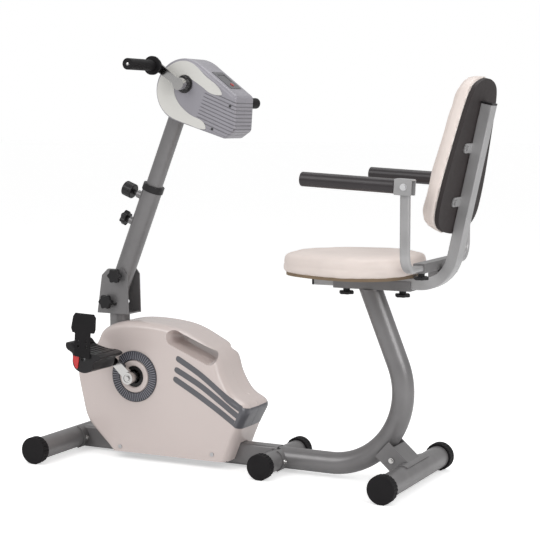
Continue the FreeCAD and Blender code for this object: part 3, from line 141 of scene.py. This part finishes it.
def finish(name, colour, roughness, metallic=0.0, coat=0.0, grain=1400.0, depth=0.00004,
           drift=0.10, specular=0.5):
    """A material with a slow drift of tone, uneven gloss and a fine surface grain.

    Drift is the share by which the tone moves, grain and depth are the scale and height of
    the surface grain, and a depth of nothing leaves the grain out.
    """
    material = bpy.data.materials.new(name)
    material.use_nodes = True
    nodes, links = material.node_tree.nodes, material.node_tree.links
    shader = nodes["Principled BSDF"]
    shader.inputs["Metallic"].default_value = metallic
    shader.inputs["Coat Weight"].default_value = coat
    shader.inputs["Specular IOR Level"].default_value = specular
    shader.inputs["Coat Roughness"].default_value = 0.15
    where = nodes.new("ShaderNodeTexCoord")
    broad = nodes.new("ShaderNodeTexNoise")
    broad.inputs["Scale"].default_value = 14.0
    broad.inputs["Detail"].default_value = 5.0
    links.new(where.outputs["Object"], broad.inputs["Vector"])
    tone = nodes.new("ShaderNodeValToRGB")
    tone.color_ramp.elements[0].position = 0.3
    tone.color_ramp.elements[1].position = 0.7
    tone.color_ramp.elements[0].color = [c * (1 - drift) for c in colour] + [1]
    tone.color_ramp.elements[1].color = [min(1, c * (1 + drift)) for c in colour] + [1]
    links.new(broad.outputs["Fac"], tone.inputs["Fac"])
    links.new(tone.outputs["Color"], shader.inputs["Base Color"])
    smear = nodes.new("ShaderNodeTexNoise")
    smear.inputs["Scale"].default_value = 45.0
    smear.inputs["Detail"].default_value = 6.0
    links.new(where.outputs["Object"], smear.inputs["Vector"])
    gloss = nodes.new("ShaderNodeMapRange")
    gloss.inputs["To Min"].default_value = roughness * 0.88
    gloss.inputs["To Max"].default_value = min(1.0, roughness * 1.12)
    links.new(smear.outputs["Fac"], gloss.inputs["Value"])
    links.new(gloss.outputs["Result"], shader.inputs["Roughness"])
    if not depth:
        return material
    fine = nodes.new("ShaderNodeTexNoise")
    fine.inputs["Scale"].default_value = grain
    fine.inputs["Detail"].default_value = 3.0
    links.new(where.outputs["Object"], fine.inputs["Vector"])
    bump = nodes.new("ShaderNodeBump")
    bump.inputs["Strength"].default_value = 0.5
    bump.inputs["Distance"].default_value = depth
    links.new(fine.outputs["Fac"], bump.inputs["Height"])
    links.new(bump.outputs["Normal"], shader.inputs["Normal"])
    return material


def recolour(material, mask, colour):
    """Lay a second colour over a material's own where a mask is one."""
    nodes, links = material.node_tree.nodes, material.node_tree.links
    shader = nodes["Principled BSDF"]
    blend = nodes.new("ShaderNodeMix")
    blend.data_type = "RGBA"
    factor, first, second = blend.inputs[0], blend.inputs[6], blend.inputs[7]
    links.new(mask, factor)
    links.new(shader.inputs["Base Color"].links[0].from_socket, first)
    second.default_value = (*colour, 1)
    links.new(blend.outputs[2], shader.inputs["Base Color"])


def mark(material, centre, radius, colour, metallic=0.0):
    """Give a material another colour within a radius of an axis that runs across the bike."""
    nodes, links = material.node_tree.nodes, material.node_tree.links
    where = nodes.new("ShaderNodeTexCoord")
    flat = nodes.new("ShaderNodeVectorMath")
    flat.operation = "MULTIPLY_ADD"
    flat.inputs[1].default_value = (1, 0, 1)
    flat.inputs[2].default_value = (-centre[0], 0, -centre[1])
    links.new(where.outputs["Object"], flat.inputs[0])
    reach = nodes.new("ShaderNodeVectorMath")
    reach.operation = "LENGTH"
    links.new(flat.outputs["Vector"], reach.inputs[0])
    inside = nodes.new("ShaderNodeMath")
    inside.operation = "LESS_THAN"
    inside.inputs[1].default_value = radius
    links.new(reach.outputs["Value"], inside.inputs[0])
    shader = nodes["Principled BSDF"]
    recolour(material, inside.outputs[0], colour)
    if metallic:
        shine = nodes.new("ShaderNodeMapRange")
        shine.inputs["To Min"].default_value = shader.inputs["Metallic"].default_value
        shine.inputs["To Max"].default_value = metallic
        links.new(inside.outputs[0], shine.inputs["Value"])
        links.new(shine.outputs["Result"], shader.inputs["Metallic"])


def smooth_shade(piece, degrees=35):
    """Shade a piece smoothly, with sharp edges where its faces turn quickly."""
    for face in piece.data.polygons:
        face.use_smooth = True
    piece.data.set_sharp_from_angle(angle=math.radians(degrees))


def dress(material, *names):
    """Give CAD nodes a material."""
    for name in names:
        for place in frame["nodes"][name].material_slots:
            place.material = material


silver_paint = finish("silver_paint", (0.187, 0.181, 0.183), 0.36, metallic=0.35, coat=0.25,
                      grain=900, depth=0.00005)
dress(silver_paint, "main_rail", "mast_post", "stabiliser_tubes", "seat_post_tube",
      "rear_bracket", "seat_channel", "bottom_bracket", "mast_outer_tube", "mast_inner_tube",
      "armrest_cross_tube")
pale_paint = finish("pale_silver_paint", (0.38, 0.375, 0.378), 0.34, metallic=0.35, coat=0.3,
                    grain=900, depth=0.00005)
# The pins that the armrests fold on end in a bright rivet.
ARMREST_PIN, RIVET_RADIUS, RIVET_METAL = (0.480, 0.779), 0.0085, (0.80, 0.80, 0.81)
mark(pale_paint, ARMREST_PIN, RIVET_RADIUS, RIVET_METAL, 1.0)
dress(pale_paint, "seat_frame_tube", "left_armrest_post", "right_armrest_post",
      "left_armrest_bar", "right_armrest_bar")

# ---- Bright and bare metal ---------------------------------------------------
# Crank arms, bolts and the crank bosses are plated; shafts, bearings and screws are bare steel.
# The flywheel is cast iron with a turned rim.

chrome = finish("chrome_plate", (0.62, 0.61, 0.60), 0.16, metallic=1.0, grain=500,
                depth=0.00001, drift=0.03)
dress(chrome, "stabiliser_bolts", "crank_arms", "hand_crank_arms")
bare_steel = finish("bare_steel", (0.55, 0.55, 0.56), 0.3, metallic=1.0, grain=2200,
                    depth=0.00002)
dress(bare_steel, "crank_axle", "pedal_spindles", "bottom_bracket_bearings", "hand_crank_axle",
      "brake_arm", "shell_screws")
cast_iron = finish("cast_iron", (0.16, 0.16, 0.165), 0.55, metallic=0.8, grain=1200,
                   depth=0.00015)
dress(cast_iron, "flywheel")
black_paint = finish("black_paint", (0.025, 0.025, 0.027), 0.4, coat=0.2)
dress(black_paint, "flywheel_mount", "head_screws")

# ---- Rubber, foam and small black mouldings -----------------------------------
# End caps, belt, straps and grips are moulded rubber, the armrests are foam sleeves, and the
# knobs, plugs, pedals and the pulley are black nylon with a fine spark-eroded grain. The
# backrest stands on a moulded black board.

black_rubber = finish("black_rubber", (0.010, 0.009, 0.010), 0.6, grain=1800,
                      depth=0.00008, drift=0.2, specular=0.2)
dress(black_rubber, "stabiliser_end_caps", "drive_belt", "left_pedal_strap",
      "right_pedal_strap", "left_grip", "right_grip")
foam_skin = finish("foam_skin", (0.022, 0.017, 0.019), 0.36, grain=2600, depth=0.0002,
                   drift=0.2)
dress(foam_skin, "left_armrest_foam", "right_armrest_foam")
black_nylon = finish("black_nylon", (0.012, 0.011, 0.012), 0.36, grain=2400,
                     depth=0.00005, drift=0.2, specular=0.35)
dress(black_nylon, "drive_pulley", "left_pedal", "right_pedal", "mast_collar",
      "tilt_pivot_knob", "tilt_lock_knob", "height_pin_knob", "height_clamp_knob",
      "seat_frame_plugs", "seat_front_knob", "seat_rear_knob", "left_armrest_knob",
      "right_armrest_knob")
back_panel = finish("back_panel", (0.030, 0.024, 0.024), 0.6, grain=1500, depth=0.0001,
                    drift=0.12, specular=0.3)
dress(back_panel, "backrest_base")

# ---- Drive housing ------------------------------------------------------------
# Two glossy cream mouldings, screwed together on the middle plane. Each side has three dark
# grey foil stripes that run towards a band of the same foil round the tail of the housing.

cream_plastic = finish("cream_plastic", (0.62, 0.54, 0.515), 0.26, coat=0.35, depth=0,
                       drift=0.008)
dress(cream_plastic, "left_shell", "right_shell")
stripe_foil = finish("stripe_foil", (0.110, 0.110, 0.122), 0.35, metallic=0.2, coat=0.3,
                     drift=0.06)
FOIL_LIFT, FOIL_THICKNESS = 0.0006, 0.0004


def surface_of(*names):
    """A search tree over the faces of CAD nodes."""
    merged = bmesh.new()
    for name in names:
        merged.from_mesh(frame["nodes"][name].data)
    tree = BVHTree.FromBMesh(merged)
    merged.free()
    return tree


housing = surface_of("left_shell", "right_shell")


def along(points, share):
    """A point part of the way along a smooth line through a few points."""
    spans = len(points) - 1
    at = min(share * spans, spans - 1e-6)
    k = int(at)
    t = at - k
    before = points[max(k - 1, 0)]
    after = points[min(k + 2, spans)]
    a, b = points[k], points[k + 1]
    return 0.5 * (2 * a + (b - before) * t + (2 * before - 5 * a + 4 * b - after) * t * t
                  + (3 * a - before - 3 * b + after) * t ** 3)


def inlay(name, upper, lower, steps, rows, round_start, pull):
    """A thin foil pressed on the housing between an upper and a lower line.

    It is pressed straight in at its start, and from further and further behind towards its end.
    """
    foil = bmesh.new()
    bmesh.ops.create_grid(foil, x_segments=steps, y_segments=rows, size=0.5)
    for v in foil.verts:
        share, across = v.co.x + 0.5, v.co.y + 0.5
        if round_start:
            reach = (along(upper, 0) - along(lower, 0)).length * 0.5
            bow = 1 - math.sqrt(max(0.0, 1 - (2 * across - 1) ** 2))
            share += (1 - share) * bow * reach / (upper[-1] - upper[0]).length
        target = along(lower, share).lerp(along(upper, share), across)
        press = Vector((-pull * share, -target.y, 0)).normalized()
        spot = housing.ray_cast(target, press)[0]
        if spot is None:
            spot = housing.find_nearest(target)[0]
        v.co = spot - press * FOIL_LIFT
    bmesh.ops.recalc_face_normals(foil, faces=foil.faces)
    foil.faces.ensure_lookup_table()
    first = foil.faces[0]
    if first.normal.y * first.calc_center_median().y < 0:
        bmesh.ops.reverse_faces(foil, faces=foil.faces)
    bmesh.ops.solidify(foil, geom=foil.faces[:], thickness=FOIL_THICKNESS)
    piece = placed(name, foil)
    piece.data.materials.append(stripe_foil)
    smooth_shade(piece, 50)
    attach(piece, "frame")


# The middle line of each stripe, as length and height, from its round end to its tail end.
STRIPE_LINES = (
    ((-0.236, 0.297), (-0.165, 0.258), (-0.105, 0.216), (-0.075, 0.1925), (-0.0400, 0.1720)),
    ((-0.241, 0.266), (-0.165, 0.228), (-0.105, 0.190), (-0.075, 0.1700), (-0.0490, 0.1530)),
    ((-0.245, 0.240), (-0.170, 0.200), (-0.112, 0.166), (-0.084, 0.1485), (-0.0585, 0.1320)),
)
STRIPE_OFFSET = (0.003, 0.0075)  # from the middle line to the upper edge
STRIPE_START_WIDTH = 0.090  # outside the housing's side, where the foil is pressed in from
# The band's edges, as length, distance from the middle plane and height.
BAND_TOP = ((-0.0375, 0.090, 0.1790), (-0.0250, 0.085, 0.1750), (-0.0080, 0.065, 0.1715),
            (-0.0040, 0.030, 0.1705), (-0.0040, 0.0005, 0.1700))
BAND_BOTTOM = ((-0.0612, 0.090, 0.1248), (-0.0500, 0.085, 0.1190), (-0.0370, 0.065, 0.1150),
               (-0.0330, 0.030, 0.1135), (-0.0330, 0.0005, 0.1130))
BAND_PULL = 0.15

for side, half in ((-1, "left"), (1, "right")):
    for number, line in enumerate(STRIPE_LINES):
        upper = [Vector((x + STRIPE_OFFSET[0], side * STRIPE_START_WIDTH, z + STRIPE_OFFSET[1]))
                 for x, z in line]
        lower = [Vector((x - STRIPE_OFFSET[0], side * STRIPE_START_WIDTH, z - STRIPE_OFFSET[1]))
                 for x, z in line]
        inlay(f"{half}_stripe_{number + 1}", upper, lower, 60, 8, True, 0.0)
    upper = [Vector((x, side * y, z)) for x, y, z in BAND_TOP]
    lower = [Vector((x, side * y, z)) for x, y, z in BAND_BOTTOM]
    inlay(f"{half}_tail_band", upper, lower, 80, 24, False, BAND_PULL)

# ---- Hub covers ---------------------------------------------------------------
# On each side a dark ring with fine radial ribs is clipped over the crank opening,
# with a cream collar inside it and a black dust plate behind the crank boss.

hub_grey = finish("hub_grey", (0.045, 0.045, 0.055), 0.38, metallic=0.15, coat=0.2)
rib_grey = finish("rib_grey", (0.27, 0.27, 0.31), 0.35, metallic=0.2, coat=0.2)
hub_low, hub_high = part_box("hub_covers")
hub_x, hub_z = (hub_low.x + hub_high.x) / 2, (hub_low.z + hub_high.z) / 2
face_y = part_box("left_shell")[0].y
RIB_COUNT, RIB_SIZE = 60, (0.021, 0.0016, 0.0016)
RIB_PLACE = (0.0585, -0.0034, 0)  # middle of a rib: radius and height over the side
# Each profile is a closed line of radius and height over the housing's side.
RING_PROFILE = ((0.071, 0.0002), (0.071, 0.0030), (0.0695, 0.0040), (0.0465, 0.0026),
                (0.0455, 0.0002), (0.071, 0.0002))
COLLAR_PROFILE = ((0.0450, 0.0002), (0.0440, 0.0050), (0.0425, 0.0062), (0.0320, 0.0062),
                  (0.0300, 0.0045), (0.0290, 0.0002), (0.0450, 0.0002))
PLATE_PROFILE = ((0.0288, 0.0002), (0.0288, 0.0020), (0.0195, 0.0026), (0.0190, 0.0002),
                 (0.0288, 0.0002))


def turned_ring(name, profile, material, side, teeth=0):
    """A ring turned from a profile, with small radial ribs if it has teeth."""
    ring = bmesh.new()
    outline = [ring.verts.new((radius, -height, 0)) for radius, height in profile]
    edges = [ring.edges.new((a, b)) for a, b in zip(outline, outline[1:])]
    bmesh.ops.spin(ring, geom=outline + edges, cent=(0, 0, 0), axis=(0, 1, 0),
                   angle=2 * math.pi, steps=96, use_merge=True)
    bmesh.ops.remove_doubles(ring, verts=ring.verts, dist=0.00001)
    for number in range(teeth):
        rib = bmesh.ops.create_cube(ring, size=1.0)["verts"]
        bmesh.ops.scale(ring, vec=RIB_SIZE, verts=rib)
        bmesh.ops.translate(ring, vec=RIB_PLACE, verts=rib)
        turn = Matrix.Rotation(2 * math.pi * number / teeth, 3, "Y")
        bmesh.ops.rotate(ring, cent=(0, 0, 0), matrix=turn, verts=rib)
        for face in {face for v in rib for face in v.link_faces}:
            face.material_index = 1
    if side > 0:
        bmesh.ops.scale(ring, vec=(1, -1, 1), verts=ring.verts)
    bmesh.ops.translate(ring, vec=(hub_x, face_y if side < 0 else -face_y, hub_z),
                        verts=ring.verts)
    bmesh.ops.recalc_face_normals(ring, faces=ring.faces)
    piece = placed(name, ring)
    piece.data.materials.append(material)
    if teeth:
        piece.data.materials.append(rib_grey)
    smooth_shade(piece)
    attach(piece, "frame")
    return piece


for side, half in ((-1, "left"), (1, "right")):
    ribbed = turned_ring(f"{half}_hub_ring", RING_PROFILE, hub_grey, side,
                         RIB_COUNT)
    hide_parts("hub_covers")
    turned_ring(f"{half}_hub_collar", COLLAR_PROFILE, cream_plastic, side)
    turned_ring(f"{half}_hub_plate", PLATE_PROFILE, black_nylon, side)

# ---- Head ---------------------------------------------------------------------
# Two grey mouldings round the hand crank's axle, an ivory cover plate on each side and a
# console plate in the sloped top. The shallow grooves along the tail are only drawn in the
# material, as a bump with painted shade in them.

mast_lean = math.radians(21.9)
hand_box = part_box("hand_crank_axle")
hand = (hand_box[0] + hand_box[1]) / 2
head_grey = finish("head_grey", (0.30, 0.29, 0.32), 0.42, metallic=0.15, coat=0.15,
                   grain=1500, depth=0.00008, drift=0.05)
# All measured from the hand crank's axle, with the lean of the mast taken out.
GROOVE_SPACING, GROOVE_DEPTH = 0.0094, 0.0012
GROOVE_START, GROOVES_LOW, GROOVES_HIGH = 0.066, -0.084, 0.013
# The darker colour inside the grooves is painted shade.
GROOVE_PAINTED_SHADE = (0.17, 0.165, 0.18)


def groove(material, spacing, start, low, high, depth):
    """Draw parallel grooves in a material, along the head's own length, as a bump and painted
    shade.
    """
    nodes, links = material.node_tree.nodes, material.node_tree.links
    where = nodes.new("ShaderNodeTexCoord")

    def distance(direction, offset):
        dot = nodes.new("ShaderNodeVectorMath")
        dot.operation = "DOT_PRODUCT"
        dot.inputs[1].default_value = direction
        links.new(where.outputs["Object"], dot.inputs[0])
        shifted = nodes.new("ShaderNodeMath")
        shifted.operation = "SUBTRACT"
        shifted.inputs[1].default_value = offset
        links.new(dot.outputs["Value"], shifted.inputs[0])
        return shifted.outputs[0]

    def step(value, edge, soft, upward):
        ramp = nodes.new("ShaderNodeMapRange")
        ramp.interpolation_type = "SMOOTHSTEP"
        ramp.inputs["From Min"].default_value = edge - soft
        ramp.inputs["From Max"].default_value = edge + soft
        ramp.inputs["To Min"].default_value = 0.0 if upward else 1.0
        ramp.inputs["To Max"].default_value = 1.0 if upward else 0.0
        links.new(value, ramp.inputs["Value"])
        return ramp.outputs["Result"]

    def both(a, b):
        product = nodes.new("ShaderNodeMath")
        product.operation = "MULTIPLY"
        links.new(a, product.inputs[0])
        links.new(b, product.inputs[1])
        return product.outputs[0]

    down = Vector((math.cos(mast_lean), 0, -math.sin(mast_lean)))
    up = Vector((math.sin(mast_lean), 0, math.cos(mast_lean)))
    p = distance(down, down.dot(hand))
    q = distance(up, up.dot(hand))
    wave = nodes.new("ShaderNodeMath")
    wave.operation = "PINGPONG"
    wave.inputs[1].default_value = spacing / 2
    links.new(q, wave.inputs[0])
    line = step(wave.outputs[0], 0.0011, 0.0005, False)
    behind = step(p, start, 0.004, True)
    between = both(step(q, low, 0.002, True), step(q, high, 0.002, False))
    mask = both(both(line, behind), between)
    cut = nodes.new("ShaderNodeBump")
    cut.invert = True
    cut.inputs["Strength"].default_value = 1.0
    cut.inputs["Distance"].default_value = depth
    links.new(mask, cut.inputs["Height"])
    shader = nodes["Principled BSDF"]
    old = shader.inputs["Normal"].links[0].from_socket
    links.new(old, cut.inputs["Normal"])
    links.new(cut.outputs["Normal"], shader.inputs["Normal"])
    # Painted shade: the grooves are darkened where shade would fall in them.
    recolour(material, mask, GROOVE_PAINTED_SHADE)


groove(head_grey, GROOVE_SPACING, GROOVE_START, GROOVES_LOW, GROOVES_HIGH, GROOVE_DEPTH)
dress(head_grey, "head_left_shell", "head_right_shell")
ivory_plastic = finish("ivory_plastic", (0.64, 0.63, 0.60), 0.3, coat=0.3, depth=0, drift=0.01)
BEZEL_RADIUS, BEZEL_BLACK = 0.0245, (0.020, 0.019, 0.020)
mark(ivory_plastic, (hand.x, hand.z), BEZEL_RADIUS, BEZEL_BLACK)
dress(ivory_plastic, "head_side_panels")
console_black = finish("console_black", (0.075, 0.073, 0.082), 0.3, coat=0.4)
dress(console_black, "display_panel")
button_red = finish("button_red", (0.35, 0.03, 0.03), 0.4, coat=0.2)
dress(button_red, "display_button")

# ---- Grip screws ----------------------------------------------------------------
# A plated button-head screw in the end of each grip holds it on its spindle.

GRIP_SCREW_RADIUS, GRIP_SCREW_FLATNESS = 0.0042, 0.45

for half, side in (("left", -1), ("right", 1)):
    low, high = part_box(f"{half}_grip")
    end = Vector(((low.x + high.x) / 2, low.y if side < 0 else high.y, (low.z + high.z) / 2))
    head = bmesh.new()
    dome = bmesh.ops.create_uvsphere(head, u_segments=24, v_segments=12,
                                     radius=GRIP_SCREW_RADIUS)["verts"]
    bmesh.ops.scale(head, vec=(1, GRIP_SCREW_FLATNESS, 1), verts=dome)
    bmesh.ops.translate(head, vec=end, verts=dome)
    piece = placed(f"{half}_grip_screw", head)
    piece.data.materials.append(chrome)
    smooth_shade(piece)
    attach(piece, f"{half}_hand_grip")

# ---- Seat and backrest --------------------------------------------------------
# Foam on a board under one stretched piece of cream vinyl. The cover is stapled under the
# board, so the sides pull in at the foot and the top crowns. A seam line runs round each
# cushion, and a welt closes the backrest's at its board.

cream_vinyl = finish("cream_vinyl", (0.75, 0.66, 0.615), 0.42, grain=520, depth=0.00022, drift=0.03)
vinyl_welt = finish("vinyl_welt", (0.80, 0.74, 0.70), 0.4, grain=700, depth=0.0001,
                    drift=0.03)
plywood = finish("plywood", (0.20, 0.14, 0.085), 0.6, grain=260, depth=0.0002, drift=0.18)
dress(plywood, "seat_base")
VOXEL = 0.006
PRESSURE = 4.0
STAPLED_HEIGHT = 0.009  # the cover is held still up to here from the board
SKIRT_HEIGHT = 0.016  # and its foot is drawn down over the board from here
BLOWN_FRAMES = 20


def only(piece):
    """Make one object the active and only selected one."""
    for other in bpy.context.view_layer.objects.selected:
        other.select_set(False)
    piece.select_set(True)
    bpy.context.view_layer.objects.active = piece


def upholster(name, node, foot, upward, swell, shrink, skirt):
    """Blow up a cushion from its board side and keep how far it swells within bounds.

    Foot is a point on the board and upward points away from it. The block is first shrunk,
    then swells by no more than swell, and its foot is drawn down by skirt.
    """
    piece = bpy.data.objects.new(name, frame["nodes"][node].data.copy())
    bpy.context.scene.collection.objects.link(piece)
    block = bmesh.new()
    block.from_mesh(piece.data)
    bmesh.ops.remove_doubles(block, verts=block.verts, dist=0.00005)
    bmesh.ops.recalc_face_normals(block, faces=block.faces)
    block.normal_update()
    for v in block.verts:
        v.co -= v.normal * shrink
    block.to_mesh(piece.data)
    block.free()
    piece.data.materials.clear()
    only(piece)
    remesh = piece.modifiers.new("remesh", "REMESH")
    remesh.mode = "VOXEL"
    remesh.voxel_size = VOXEL
    bpy.ops.object.modifier_apply(modifier=remesh.name)
    rest = [v.co.copy() for v in piece.data.vertices]
    pinned = piece.vertex_groups.new(name="stapled")
    held = [v.index for v in piece.data.vertices
            if (v.co - foot).dot(upward) < STAPLED_HEIGHT]
    pinned.add(held, 1.0, "REPLACE")
    cloth = piece.modifiers.new("cloth", "CLOTH")
    cloth.settings.use_pressure = True
    cloth.settings.uniform_pressure_force = PRESSURE
    cloth.settings.effector_weights.gravity = 0.0
    cloth.settings.vertex_group_mass = "stapled"
    cloth.settings.quality = 5
    for number in range(1, BLOWN_FRAMES + 1):
        bpy.context.scene.frame_set(number)
    blown = piece.evaluated_get(bpy.context.evaluated_depsgraph_get()).to_mesh()
    shape = [v.co.copy() for v in blown.vertices]
    piece.modifiers.remove(cloth)
    bpy.context.scene.frame_set(1)
    for v, old, new in zip(piece.data.vertices, rest, shape):
        move = new - old
        if move.length > swell:
            move *= swell / move.length
        v.co = old + move
    smooth = piece.modifiers.new("smooth", "SMOOTH")
    smooth.factor = 0.6
    smooth.iterations = 14
    bpy.ops.object.modifier_apply(modifier=smooth.name)
    for v in piece.data.vertices:
        height = (v.co - foot).dot(upward)
        v.co -= upward * skirt * max(0.0, 1 - height / SKIRT_HEIGHT)
    finer = piece.modifiers.new("finer", "SUBSURF")
    finer.levels = 1
    finer.render_levels = 1
    bpy.ops.object.modifier_apply(modifier=finer.name)
    for face in piece.data.polygons:
        face.use_smooth = True
    piece.data.materials.append(cream_vinyl)
    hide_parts(node)
    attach(piece, "seat")
    return piece


def press_seam(piece, point, normal, depth, width):
    """Pull the cover in along the line where a plane cuts it."""
    normals = [v.normal.copy() for v in piece.data.vertices]
    for v, outward in zip(piece.data.vertices, normals):
        if abs(outward.dot(normal)) > 0.8:
            continue
        away = (v.co - point).dot(normal) / width
        v.co -= outward * depth * math.exp(-away * away)


def welt(name, piece, point, normal, thickness):
    """A sewn welt round the cushion, where a plane cuts it."""
    loop = bmesh.new()
    loop.from_mesh(piece.data)
    bmesh.ops.bisect_plane(loop, geom=loop.verts[:] + loop.edges[:] + loop.faces[:],
                           plane_co=point, plane_no=normal, clear_inner=True, clear_outer=True)
    cord = placed(name, loop)
    only(cord)
    bpy.ops.object.convert(target="CURVE")
    cord.data.bevel_depth = thickness / 2
    cord.data.bevel_resolution = 3
    bpy.ops.object.convert(target="MESH")
    for face in cord.data.polygons:
        face.use_smooth = True
    cord.data.materials.append(vinyl_welt)
    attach(cord, "seat")


UP = Vector((0, 0, 1))
seat_foot = Vector((0, 0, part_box("seat_pad")[0].z))
seat_cushion = upholster("seat_cushion", "seat_pad", seat_foot, UP,
                         swell=0.005, shrink=0.004, skirt=0.009)
press_seam(seat_cushion, seat_foot + UP * 0.020, UP, depth=0.0015, width=0.0025)

BACKREST_LEAN = math.radians(12.3)
front = Vector((-math.cos(BACKREST_LEAN), 0, math.sin(BACKREST_LEAN)))
back_points = [v.co for v in frame["nodes"]["backrest_pad"].data.vertices]
back_foot = min(back_points, key=lambda c: c.dot(front)).copy()
back_cushion = upholster("back_cushion", "backrest_pad", back_foot, front,
                         swell=0.007, shrink=0.001, skirt=0.0)
press_seam(back_cushion, back_foot + front * 0.030, front, depth=0.0012, width=0.0022)
welt("back_welt", back_cushion, back_foot + front * 0.003, front, thickness=0.003)

# ---- Pedal reflectors -----------------------------------------------------------
# A red lens with small prisms is snapped into the outer end of each pedal. It is the
# smallest solid of the pedal's node, laid over it a little larger in red.

red_lens = finish("red_lens", (0.55, 0.01, 0.012), 0.2, coat=0.6, grain=600, depth=0.0004,
                  drift=0.15)
LENS_SCALE, LENS_LIFT = 1.03, 0.0003


def smallest_solid(node):
    """The smallest loose solid of a CAD node, as a mesh of its own."""
    mesh = bmesh.new()
    mesh.from_mesh(frame["nodes"][node].data)
    bmesh.ops.remove_doubles(mesh, verts=mesh.verts, dist=0.00001)
    groups, left = [], set(mesh.verts)
    while left:
        group, edge = set(), [left.pop()]
        while edge:
            v = edge.pop()
            group.add(v)
            near = {other for link in v.link_edges for other in link.verts} & left
            left -= near
            edge.extend(near)
        groups.append(group)
    keep = min(groups, key=len)
    bmesh.ops.delete(mesh, geom=[v for v in mesh.verts if v not in keep], context="VERTS")
    return mesh


for half, side in (("left", -1), ("right", 1)):
    lens = smallest_solid(f"{half}_pedal")
    centre = sum((v.co for v in lens.verts), Vector()) / len(lens.verts)
    bmesh.ops.translate(lens, vec=-centre, verts=lens.verts)
    bmesh.ops.scale(lens, vec=(LENS_SCALE, LENS_SCALE, LENS_SCALE), verts=lens.verts)
    bmesh.ops.translate(lens, vec=centre + Vector((0, side * LENS_LIFT, 0)), verts=lens.verts)
    piece = placed(f"{half}_reflector", lens)
    piece.data.materials.append(red_lens)
    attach(piece, f"{half}_pedal_set")
